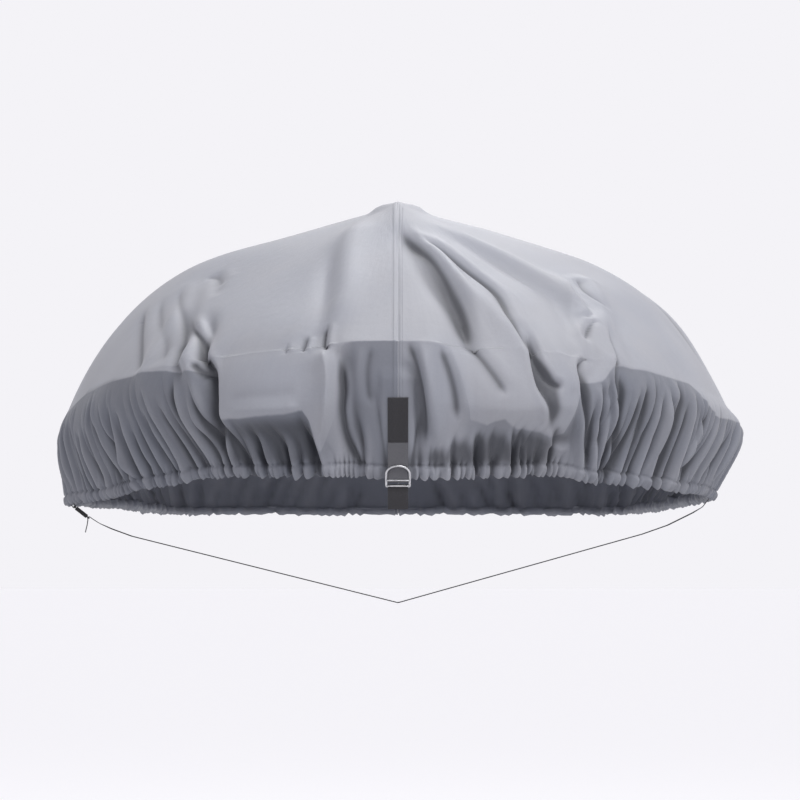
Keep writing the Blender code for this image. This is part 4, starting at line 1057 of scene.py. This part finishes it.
def plastic_material(look):
    """Moulded plastic with a fine spark-eroded grain, rubbed paler in places."""
    shader = Shader("buckle_moulded_plastic", look.plastic_colour, 0.45)
    ground = shader.node("ShaderNodeTexCoord").outputs["Object"]
    grain = shader.noise(ground, 1500.0, 2.0, 0.6)
    rubbed = shader.noise(ground, 90.0, 3.0, 0.6)
    shader.join(shader.fade(rubbed, 0.3, 0.75, 0.40, 0.62), "Roughness")
    pale = tuple(2.2 * c + 0.01 for c in look.plastic_colour)
    bare = shader.fade(rubbed, 0.6, 0.85, 0.0, 0.5)
    shader.join(shader.mix(bare, look.plastic_colour, pale), "Base Color")
    shader.join(shader.bump(grain, 0.25, 0.0001), "Normal")
    return shader.material


def thread_material(name, colour):
    """Twisted sewing thread."""
    shader = Shader(name, colour, 0.7)
    ground = shader.node("ShaderNodeTexCoord").outputs["Object"]
    twist = shader.noise(ground, 1300.0, 1.0)
    shader.join(shader.mix(shader.fade(twist, 0.3, 0.7), scaled(0.75, colour), colour), "Base Color")
    shader.join(shader.bump(twist, 0.4, 0.0002), "Normal")
    return shader.material


# ---- Settings ----


class BOATCOVER_PG_shape(bpy.types.PropertyGroup):
    """Sizes of the cover's finer relief."""

    crease: FloatProperty(
        name="Crease depth", description="Depth of the fine creases, as a share",
        default=1.0, min=0.0, max=2.0,
    )
    scrunch: FloatProperty(
        name="Hem scrunch", description="Depth of the hem's pleats, as a share",
        default=1.0, min=0.0, max=2.0,
    )
    stitch_pitch: FloatProperty(
        name="Stitch pitch", description="From one stitch to the next", default=0.0042, unit="LENGTH"
    )
    stitch_long: FloatProperty(
        name="Stitch length", description="Length of one stitch", default=0.0031, unit="LENGTH"
    )
    thread_thick: FloatProperty(
        name="Thread", description="Half of the thread's width", default=0.00045, unit="LENGTH"
    )


class BOATCOVER_PG_look(bpy.types.PropertyGroup):
    """Colours and finishes."""

    light_colour: FloatVectorProperty(
        name="Cloth", description="Cloth that hangs free",
        default=(0.352, 0.361, 0.400), subtype="COLOR",
    )
    # Painted shade: the cloth's colour in the shade below the rim, where the tube lies behind it.
    tube_shade_colour: FloatVectorProperty(
        name="Tight cloth", description="Cloth that lies tight, below the rim",
        default=(0.154, 0.164, 0.196), subtype="COLOR",
    )
    # Painted shade: the colour painted in the valleys and under the bulges.
    valley_shade_colour: FloatVectorProperty(
        name="Cloth in valleys", description="Cloth in the valleys and under the bulges",
        default=(0.040, 0.042, 0.050), subtype="COLOR",
    )
    # How much of that painted shade shows.
    valley_shade_share: FloatProperty(
        name="Valley shade", description="How much of the valleys' colour shows",
        default=0.75, min=0.0, max=1.0,
    )
    roughness: FloatProperty(
        name="Cloth roughness", description="How matt the coating is", default=0.58, min=0.0, max=1.0
    )
    sheen: FloatProperty(
        name="Cloth sheen", description="Sheen of the weave", default=0.12, min=0.0, max=1.0
    )
    weave_pitch: FloatProperty(
        name="Weave pitch", description="From one thread to the next but one",
        default=0.0012, unit="LENGTH",
    )
    tab_colour: FloatVectorProperty(
        name="Tab webbing", description="The doubled tab and the tail",
        default=(0.021, 0.020, 0.023), subtype="COLOR",
    )
    loop_colour: FloatVectorProperty(
        name="Loop webbing", description="The loop that holds the lock",
        default=(0.09, 0.09, 0.10), subtype="COLOR",
    )
    belly_colour: FloatVectorProperty(
        name="Belly webbing", description="The strap under the cover",
        default=(0.045, 0.045, 0.05), subtype="COLOR",
    )
    rib_pitch: FloatProperty(
        name="Webbing ribs", description="From one rib of the webbing to the next",
        default=0.0022, unit="LENGTH",
    )
    metal_colour: FloatVectorProperty(
        name="Lock", description="The ladder lock's plating",
        default=(0.62, 0.62, 0.64), subtype="COLOR",
    )
    plastic_colour: FloatVectorProperty(
        name="Buckle", description="The side-release buckle",
        default=(0.018, 0.018, 0.020), subtype="COLOR",
    )
    thread_colour: FloatVectorProperty(
        name="Thread", description="Thread in the cloth", default=(0.20, 0.21, 0.235), subtype="COLOR"
    )


class BOATCOVER_PG_stage(bpy.types.PropertyGroup):
    """The floor, the lights and the camera."""

    floor_drop: FloatProperty(
        name="Floor drop", description="From the strap's lowest point down to the floor",
        default=1.4, unit="LENGTH",
    )
    floor_half: FloatProperty(
        name="Floor's half width", description="Half of the floor's width", default=60.0, unit="LENGTH"
    )
    floor_fade: FloatProperty(
        name="Floor fade", description="From where the floor fades into the surroundings",
        default=1.4, unit="LENGTH",
    )
    floor_glow: FloatProperty(
        name="Floor glow", description="How much the far floor is lifted towards the surroundings",
        default=0.60,
    )
    floor_colour: FloatVectorProperty(
        name="Floor colour", description="The floor's colour",
        default=(0.70, 0.70, 0.715), subtype="COLOR",
    )
    sky_level: FloatVectorProperty(
        name="Surroundings", description="Colour of the surroundings at the horizon",
        default=(0.905, 0.895, 0.93), subtype="COLOR",
    )
    top_level: FloatProperty(
        name="Light from above", description="Brightness straight above, as a share of the horizon's",
        default=0.45,
    )
    key_power: FloatProperty(
        name="Key light", description="Power of the large light above", default=118.0, unit="POWER"
    )
    camera_away: FloatProperty(
        name="Camera distance", description="From the origin to the camera along Y",
        default=4.25, unit="LENGTH",
    )
    camera_drop: FloatProperty(
        name="Camera drop", description="How far the camera is below the origin",
        default=0.7138, unit="LENGTH",
    )
    camera_tilt: FloatProperty(
        name="Camera tilt", description="How far the camera looks up",
        default=math.radians(4.004), subtype="ANGLE",
    )
    camera_lens: FloatProperty(name="Lens", description="Focal length in millimetres", default=90.0)
    camera_shift: FloatProperty(
        name="Lens shift", description="Sideways shift, as a share of the picture's width",
        default=0.0025,
    )


# ---- Pieces ----


def in_frame(y, up):
    """A place on the centre line, from the bow's tip and the hem's height, in the frame's place."""
    return (0.0, y - HANG[1], up - HANG[2])


class BOATCOVER_OT_cloth(bpy.types.Operator):
    """The two halves of the cover, with their folds, gathers and hem casing."""

    bl_idname = "boatcover.make_cloth"
    bl_label = "Cover cloth"

    def execute(self, context):
        shape, look = context.scene.boatcover_shape, context.scene.boatcover_look
        places = column_places()
        for side in ("port", "starboard"):
            rows, s, u = [], [], []
            for low, high, count, every in ROW_STRETCHES:
                kept = [k for k in range(len(places)) if k % every == 0 or k == len(places) - 1]
                for level in np.linspace(low, high, count, endpoint=high > 2.0):
                    rows.append(list(range(len(s), len(s) + len(kept))))
                    s += [places[k] for k in kept]
                    u += [level] * len(kept)
            s, u = np.array(s), np.array(u)
            points, lift = cloth_face(side, s, u, shape)
            faces = []
            for upper, lower in zip(rows[:-1], rows[1:]):
                faces += zip_rows(upper, lower, s)
            if side == "starboard":
                faces = [face[::-1] for face in faces]
            material = cover_material("cover_cloth_" + side, look)
            half = make_piece("cloth_" + side, points, faces, material)
            # Painted shade below the rim line, weaker on raised ridges.
            line, dark = shade_line(side, s)
            down = WEAVE_TOP_RUN * np.minimum(u, 1.0) + SKIRT_RUN * np.maximum(u - 1.0, 0.0)
            add_values(half, "cloth_place", np.stack([s, down, 0.0 * s], 1))
            add_values(half, "below_line", u - line)
            raised = np.clip(lift / RAISED_HIGH, 0.0, 1.0)
            add_values(half, "shade_share", dark * (1.0 - RAISED_SHARE * raised))
            # Painted shade in the valleys, less on ridges and aft, plus the painted shade under the bulges.
            shaded = 1.0 - AFT_LESS_SHADE * ease(*AFT_LESS_SHADE_AT, s)
            valleys = np.maximum(-lift * shaded / VALLEY_DEEP, -RIDGE_LESS_SHADE)
            add_values(half, "valley_shade", np.clip(valleys + deep_shade(side, s, u), 0.0, 1.0))
            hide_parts("cover_" + side)
        return {"FINISHED"}


class BOATCOVER_OT_stitching(bpy.types.Operator):
    """The topstitching beside the centre seam and along the hem's casing."""

    bl_idname = "boatcover.make_stitching"
    bl_label = "Stitching"

    def execute(self, context):
        shape, look = context.scene.boatcover_shape, context.scene.boatcover_look
        thread = thread_material("cover_thread", look.thread_colour)
        for side in ("port", "starboard"):
            starts, ends, outs = [], [], []
            for from_s, from_u, to_s, to_u in self.runs(shape):
                starts.append(cloth_face(side, from_s, from_u, shape)[0])
                ends.append(cloth_face(side, to_s, to_u, shape)[0])
                outs.append(facing(side, from_s, from_u) * mirror_to(side))
            starts, ends, outs = (np.concatenate(values) for values in (starts, ends, outs))
            off = outs * 0.5 * shape.thread_thick
            name, thick = "stitching_" + side, shape.thread_thick
            make_stitches(name, starts + off, ends + off, outs, thick, thread)
        return {"FINISHED"}

    def runs(self, shape):
        """The stitches' starts and ends: along the casing, down the bow, and down the stern."""
        count = int((RIM_LENGTH - 2 * TOPSTITCH_OFF) / shape.stitch_pitch)
        first = TOPSTITCH_OFF + shape.stitch_pitch * np.arange(count)
        level = np.full(count, CASING_FROM)
        yield first, level, first + shape.stitch_long, level
        for top, bottom, length, stern in TOPSTITCH_RUNS:
            count = int(length / shape.stitch_pitch)
            from_u = np.linspace(top, bottom, count, endpoint=False)
            to_u = from_u + (bottom - top) / count * shape.stitch_long / shape.stitch_pitch
            yield self.beside_seam(from_u, stern), from_u, self.beside_seam(to_u, stern), to_u

    @staticmethod
    def beside_seam(u, stern):
        """How far along the rim a place at u lies that is TOPSTITCH_OFF from the centre line."""
        reach = np.minimum(TOPSTITCH_OFF / np.maximum(np.minimum(u, 1.0), 0.05), 0.16)
        return RIM_LENGTH - reach if stern else reach


class BOATCOVER_OT_bow_strap(bpy.types.Operator):
    """The tab on the bow, the webbing loop under it, the ladder lock and the strap's tail."""

    bl_idname = "boatcover.make_bow_strap"
    bl_label = "Bow strap"

    def execute(self, context):
        shape, look = context.scene.boatcover_shape, context.scene.boatcover_look
        dark = webbing_material("tab_webbing", look.tab_colour, 2.6, look.rib_pitch)
        pale = webbing_material("loop_webbing", look.loop_colour, 1.9, look.rib_pitch)
        u = np.linspace(TAB_FROM, TAB_TO, 9)
        skirt = coarse_face("port", np.zeros_like(u), u)
        tab = [(y - GAP - TAB_THICK / 2, z) for _, y, z in skirt]
        piece = self.band("bow_tab_webbing", tab, TAB_THICK, dark, "bow_tab_webbing")
        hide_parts("bow_tab")
        self.stitch_tab(tab, shape, look)

        wrap = LOCK_WIRE + GAP + WEBBING / 2
        top = (tab[-1][0], tab[-1][1] - GAP)
        bar = (LOCK_BAR_Y, LOCK_BAR_UP)
        front = (bar[0] - wrap, bar[1])
        half_way = ((top[0] + front[0]) / 2, (top[1] + front[1]) / 2)
        loop = [top, ((top[0] + half_way[0]) / 2, (top[1] + half_way[1]) / 2), half_way]
        loop += turn_round(bar, wrap, 180, 360)
        loop += [(half_way[0] + WEBBING + 2 * GAP, half_way[1] - 2 * WEBBING)]
        piece = self.band("bow_loop_webbing", loop, WEBBING, pale, "bow_loop_webbing", 0.0012)
        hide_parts("bow_loop")

        foot = (LOCK_BAR_Y, LOCK_FOOT_UP)
        tail = [(foot[0] + wrap, foot[1] - TAIL_START_DROP)] + turn_round(foot, wrap, 0, 180)
        tail += [(foot[0] - wrap - GAP, foot[1] - TAIL_BEND_DROP), (foot[0] - wrap + WEBBING, TAIL_END_UP)]
        piece = self.band("bow_tail_webbing", tail, WEBBING, dark, "bow_tail_webbing", 0.0012)
        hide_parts("bow_tail")
        self.make_lock(look)
        return {"FINISHED"}

    def band(self, name, path, thick, material, slot, spacing=0.002):
        placed = [in_frame(y, z) for y, z in path]
        return make_webbing(name, placed, (1, 0, 0), BOW_WEBBING, thick, material, spacing)

    def stitch_tab(self, tab, shape, look):
        """The tab's box of stitches with a cross in it, sewn through its front."""
        path = np.array([in_frame(y, z) for y, z in tab])
        along = np.concatenate([[0.0], np.cumsum(np.linalg.norm(np.diff(path, axis=0), axis=1))])
        half, low, high = BOW_WEBBING / 2 - 0.004, 0.005, along[-1] - 0.005
        corners = [(-half, low), (half, low), (half, high), (-half, high), (-half, low), (half, high)]
        corners += [(half, low), (-half, high)]
        starts, ends = [], []
        for (x0, a0), (x1, a1) in zip(corners[:-1], corners[1:]):
            count = max(2, int(math.hypot(x1 - x0, a1 - a0) / shape.stitch_pitch * 1.3))
            for k in range(count):
                for store, share in ((starts, k / count), (ends, (k + 0.72) / count)):
                    store.append((x0 + (x1 - x0) * share, a0 + (a1 - a0) * share))

        def on_tab(places):
            across, down = np.array(places).T
            front = np.interp(down, along, path[:, 1]) - TAB_THICK / 2 - 0.0001
            return np.stack([across, front, np.interp(down, along, path[:, 2])], 1)

        thread = thread_material("tab_thread", scaled(3.0, look.tab_colour))
        outs = np.tile((0.0, -1.0, 0.0), (len(starts), 1))
        starts, ends, thick = on_tab(starts), on_tab(ends), shape.thread_thick
        make_stitches("tab_stitching", starts, ends, outs, thick, thread)

    def make_lock(self, look):
        """The ladder lock's bent wire with its bar."""
        rail = BOW_WEBBING / 2 + 2 * GAP + LOCK_WIRE
        crown_from = LOCK_BAR_UP + LOCK_CROWN_FROM
        path = []
        for turn in np.linspace(0.0, math.pi, 41):
            lift = math.sin(turn)
            share = LOCK_CROWN_SHARE + (1.0 - LOCK_CROWN_SHARE) * lift
            y = LOCK_BAR_Y + (LOCK_CROWN_Y - LOCK_BAR_Y) * share
            path.append((rail * math.cos(turn), y, crown_from + (LOCK_CROWN_UP - crown_from) * lift))
        for sign, start in ((-1, math.pi), (1, 1.5 * math.pi)):
            middle_x, middle_up = sign * (rail - LOCK_CORNER), LOCK_FOOT_UP + LOCK_CORNER
            bend = []
            for a in np.linspace(start, start + 0.5 * math.pi, 9):
                x, up = middle_x + LOCK_CORNER * math.cos(a), middle_up + LOCK_CORNER * math.sin(a)
                bend.append((x, LOCK_BAR_Y, up))
            level = [(sign * rail, LOCK_BAR_Y, LOCK_BAR_UP)]
            path += level + bend if sign < 0 else bend + level
        path = np.array(path) - HANG
        ring = [(LOCK_WIRE * math.cos(a), LOCK_WIRE * math.sin(a)) for a in np.arange(16) * math.pi / 8]
        points, faces = sweep(path, self.wire_across(path), ring, closed=True)
        bar = [(x, LOCK_BAR_Y, LOCK_BAR_UP) for x in np.linspace(-rail, rail, 9)] - HANG
        bar_points, bar_faces = sweep(bar, (0, 0, 1), ring)
        faces += [tuple(k + len(points) for k in face) for face in bar_faces]
        points = np.concatenate([points, bar_points])
        for up in LOCK_FRONT_BARS:
            turn = np.linspace(-1.0, 1.0, 33)
            forward = LOCK_FRONT_REACH * np.clip(8.0 * (1.0 - np.abs(turn)), 0.0, 1.0) ** 0.5
            front = np.stack([rail * turn, LOCK_BAR_Y - forward, np.full(33, up)], 1) - HANG
            thin = [(LOCK_FRONT_WIRE * a, LOCK_FRONT_WIRE * b) for a, b in ring]
            bar_points, bar_faces = sweep(front, (0, 0, 1), thin)
            faces += [tuple(k + len(points) for k in face) for face in bar_faces]
            points = np.concatenate([points, bar_points])
        piece = make_piece("bow_lock_wire", points, faces, metal_material(look))
        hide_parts("bow_lock")

    @staticmethod
    def wire_across(path):
        """A direction across the wire at each of its points, level with the lock's face."""
        along = np.roll(path, -1, 0) - np.roll(path, 1, 0)
        across = np.cross(along, (0.0, 1.0, 0.0))
        return across / np.linalg.norm(across, axis=1, keepdims=True)


def turn_round(centre, radius, first, last):
    """Points round a bar, in the plane of the webbing's run, between two angles in degrees."""
    angles = np.radians(np.linspace(first, last, 17))
    return [(centre[0] + radius * math.cos(a), centre[1] + radius * math.sin(a)) for a in angles]


def inside_hem(side, u, depth):
    """The two places beside the belly strap's end, one on each side, that lie depth inside the cover."""
    s = BELLY_ALONG + np.array([-SEWN_HALF, SEWN_HALF])
    u = np.full(2, u)
    return coarse_face(side, s, u) - facing(side, s, u) * mirror_to(side) * depth


def along_hem(side):
    """The level direction of the hem where the belly strap meets it."""
    front, back = inside_hem(side, 1.9, 0.0)
    level = (back - front) * (1.0, 1.0, 0.0)
    return level / np.linalg.norm(level)


class BOATCOVER_OT_belly_strap(bpy.types.Operator):
    """The strap under the cover, and the loop that holds the buckle at the starboard hem."""

    bl_idname = "boatcover.make_belly_strap"
    bl_label = "Belly strap"

    def execute(self, context):
        look = context.scene.boatcover_look
        webbing = webbing_material("belly_webbing", look.belly_colour, 2.0, look.rib_pitch)
        along, up = math.cos(BUCKLE_LEAN), -math.sin(BUCKLE_LEAN)
        length = buckle_length()
        upper_bar = (BUCKLE_X, BUCKLE_UP)
        lower_bar = (BUCKLE_X + along * length, BUCKLE_UP + up * length)
        wrap = BUCKLE_BAR / math.sqrt(2) + GAP + WEBBING / 2
        against = CLOTH + SEWN_GAP + WEBBING / 2
        lean = math.degrees(math.atan2(up, along))

        sewn = [inside_hem("port", u, against).mean(0) for u in np.linspace(BELLY_SEWN_FROM, 1.99, 4)]
        sewn.append(sewn[-1] + 0.5 * (sewn[-1] - sewn[-2]))
        route = [(p[0], p[2]) for p in sewn] + [*BELLY_ROUTE_PORT, BELLY_LOWEST, *BELLY_ROUTE_STARBOARD]
        free = len(route)
        lead = (lower_bar[0] + BELLY_LEAD * along - wrap * up, lower_bar[1] + BELLY_LEAD * up + wrap * along)
        route += [lead] + turn_round(lower_bar, wrap, lean + 90, lean + 270)
        route += [(lower_bar[0] + dx, lower_bar[1] + dz) for dx, dz in BELLY_TAIL]
        buckle_across = along_hem("starboard")
        skew = -buckle_across[0] / buckle_across[1]
        turned = BELLY_ROUTE_STARBOARD[2][0]
        bend_x, bend_y = (BUCKLE_X, turned, BELLY_ROUTE_PORT[-1][0]), (0.0, skew * (turned - BUCKLE_X), 0.0)
        points = [(x, BELLY_Y + np.interp(x, bend_x, bend_y), z) for x, z in route] - HANG
        across = [along_hem("port")] * (len(sewn) + 1) + [(0, 1, 0)] * (free - len(sewn) - 2)
        across += [buckle_across] * (len(points) - len(across))
        strap = make_webbing(
            "belly_strap_webbing", points, across, BELLY_WEBBING, WEBBING, webbing, 0.0016
        )
        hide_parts("belly_strap")

        sewn = [inside_hem("starboard", u, against).mean(0) for u in np.linspace(BELLY_SEWN_FROM, 1.97, 4)]
        route = [(p[0], p[2]) for p in sewn] + turn_round(upper_bar, wrap, lean + 270, lean + 450)
        back = inside_hem("starboard", 1.93, against + WEBBING + 2 * GAP).mean(0)
        route += [(back[0], back[2])]
        points = [(x, BELLY_Y + skew * (x - BUCKLE_X), z) for x, z in route] - HANG
        name = "belly_loop_webbing"
        loop = make_webbing(name, points, buckle_across, BELLY_WEBBING, WEBBING, webbing, 0.0012)
        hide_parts("belly_hem_loop")
        return {"FINISHED"}


def buckle_length():
    """From one of the buckle's webbing bars to the other."""
    return 2.0 * (BUCKLE_BAR / 2 + BUCKLE_SLOT + BUCKLE_BODY + GAP / 2)


class BOATCOVER_OT_buckle(bpy.types.Operator):
    """A finer finish for the two halves of the side-release buckle, whose solids have the right shape."""

    bl_idname = "boatcover.finish_buckle"
    bl_label = "Buckle"

    def execute(self, context):
        plastic = plastic_material(context.scene.boatcover_look)
        for name in ("belly_buckle_socket", "belly_buckle_prongs"):
            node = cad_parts[name]
            for slot in node.material_slots:
                slot.material = plastic
        return {"FINISHED"}


# The stage's lights, where they aim, and between which heights the surroundings grow dimmer.
LIGHTS = (
    # name, place, size, share of the key light's power
    ("key_light", (1.4, -1.9, 3.1), 2.2, 0.82),
    ("back_light", (0.4, 3.0, 3.4), 3.2, 1.1),
    ("fill_light", (1.9, -4.2, 0.1), 1.8, 0.12),
)
LIGHT_AIM = (0.0, 0.6, -0.3)
SKY_FROM, SKY_TO = 0.30, 0.50


class BOATCOVER_OT_stage(bpy.types.Operator):
    """The pale floor, the pale surroundings, the soft lights and the camera."""

    bl_idname = "boatcover.make_stage"
    bl_label = "Stage"

    def execute(self, context):
        stage = context.scene.boatcover_stage
        self.make_floor(stage)
        self.make_surroundings(context.scene, stage)
        for name, place, size, share in LIGHTS:
            self.make_light(name, place, size, share * stage.key_power)
        self.make_camera(context.scene, stage)
        context.scene.view_settings.view_transform = "Standard"
        return {"FINISHED"}

    def make_floor(self, stage):
        low = CAD_BOX[0][2] - stage.floor_drop
        half = stage.floor_half
        mesh = bpy.data.meshes.new("floor")
        corners = [(-half, -half, low), (half, -half, low), (half, half, low), (-half, half, low)]
        mesh.from_pydata(corners, [], [(0, 1, 2, 3)])
        shader = Shader("floor_paint", stage.floor_colour, 0.9)
        ground = shader.node("ShaderNodeTexCoord").outputs["Object"]
        away = shader.node("ShaderNodeVectorMath", {0: ground}, operation="LENGTH").outputs["Value"]
        shader.set("Emission Color", (*stage.sky_level, 1.0))
        glow = shader.fade(away, stage.floor_fade, 6.0 * stage.floor_fade, 0.0, stage.floor_glow)
        shader.join(glow, "Emission Strength")
        shader.join(shader.bump(shader.noise(ground, 40.0), 0.02, 0.001), "Normal")
        mesh.materials.append(shader.material)
        floor = bpy.data.objects.new("floor", mesh)
        bpy.context.scene.collection.objects.link(floor)

    def make_surroundings(self, scene, stage):
        """An even pale horizon that grows dimmer towards straight above."""
        world = bpy.data.worlds.new("surroundings")
        world.use_nodes = True
        nodes, links = world.node_tree.nodes, world.node_tree.links
        place = nodes.new("ShaderNodeTexCoord")
        split = nodes.new("ShaderNodeSeparateXYZ")
        level = nodes.new("ShaderNodeMapRange")
        level.interpolation_type = "SMOOTHSTEP"
        level.inputs["From Min"].default_value = SKY_FROM
        level.inputs["From Max"].default_value = SKY_TO
        level.inputs["To Min"].default_value = 1.0
        level.inputs["To Max"].default_value = stage.top_level
        links.new(place.outputs["Generated"], split.inputs[0])
        links.new(split.outputs[2], level.inputs["Value"])
        links.new(level.outputs[0], nodes["Background"].inputs["Strength"])
        nodes["Background"].inputs["Color"].default_value = (*stage.sky_level, 1.0)
        scene.world = world

    def make_light(self, name, place, size, power):
        data = bpy.data.lights.new(name, "AREA")
        data.shape = "DISK"
        data.size = size
        data.energy = power
        light = bpy.data.objects.new(name, data)
        bpy.context.scene.collection.objects.link(light)
        light.location = place
        aim = np.array(LIGHT_AIM) - np.array(place)
        tilt = math.atan2(math.hypot(aim[0], aim[1]), -aim[2])
        light.rotation_euler = (tilt, 0.0, math.atan2(-aim[0], aim[1]))

    def make_camera(self, scene, stage):
        data = bpy.data.cameras.new("camera")
        data.lens = stage.camera_lens
        data.sensor_width = 36.0
        data.shift_x = stage.camera_shift
        camera = bpy.data.objects.new("camera", data)
        scene.collection.objects.link(camera)
        camera.location = (0.0, -stage.camera_away, -stage.camera_drop)
        camera.rotation_euler = (math.pi / 2 + stage.camera_tilt, 0.0, 0.0)
        scene.camera = camera


class BOATCOVER_PT_panel(bpy.types.Panel):
    """The cover's settings and its pieces."""

    bl_idname = "BOATCOVER_PT_panel"
    bl_label = "Boat cover"
    bl_space_type = "VIEW_3D"
    bl_region_type = "UI"
    bl_category = "Boat cover"

    def draw(self, context):
        layout = self.layout
        for group in ("boatcover_shape", "boatcover_look", "boatcover_stage"):
            settings = getattr(context.scene, group)
            column = layout.box().column()
            for name in settings.bl_rna.properties.keys():
                if name not in ("rna_type", "name"):
                    column.prop(settings, name)
        for operator in OPERATORS:
            layout.operator(operator.bl_idname)


OPERATORS = (
    BOATCOVER_OT_stage,
    BOATCOVER_OT_cloth,
    BOATCOVER_OT_stitching,
    BOATCOVER_OT_bow_strap,
    BOATCOVER_OT_belly_strap,
    BOATCOVER_OT_buckle,
)
GROUPS = {
    "boatcover_shape": BOATCOVER_PG_shape,
    "boatcover_look": BOATCOVER_PG_look,
    "boatcover_stage": BOATCOVER_PG_stage,
}


def register():
    for cls in (*GROUPS.values(), *OPERATORS, BOATCOVER_PT_panel):
        bpy.utils.register_class(cls)
    for name, group in GROUPS.items():
        setattr(bpy.types.Scene, name, PointerProperty(type=group))


def unregister():
    for name in GROUPS:
        delattr(bpy.types.Scene, name)
    for cls in reversed((*GROUPS.values(), *OPERATORS, BOATCOVER_PT_panel)):
        bpy.utils.unregister_class(cls)


def main():
    register()
    bpy.ops.boatcover.make_stage()
    bpy.ops.boatcover.make_cloth()
    bpy.ops.boatcover.make_stitching()
    bpy.ops.boatcover.make_bow_strap()
    bpy.ops.boatcover.make_belly_strap()
    bpy.ops.boatcover.finish_buckle()


if __name__ == "__main__":
    main()
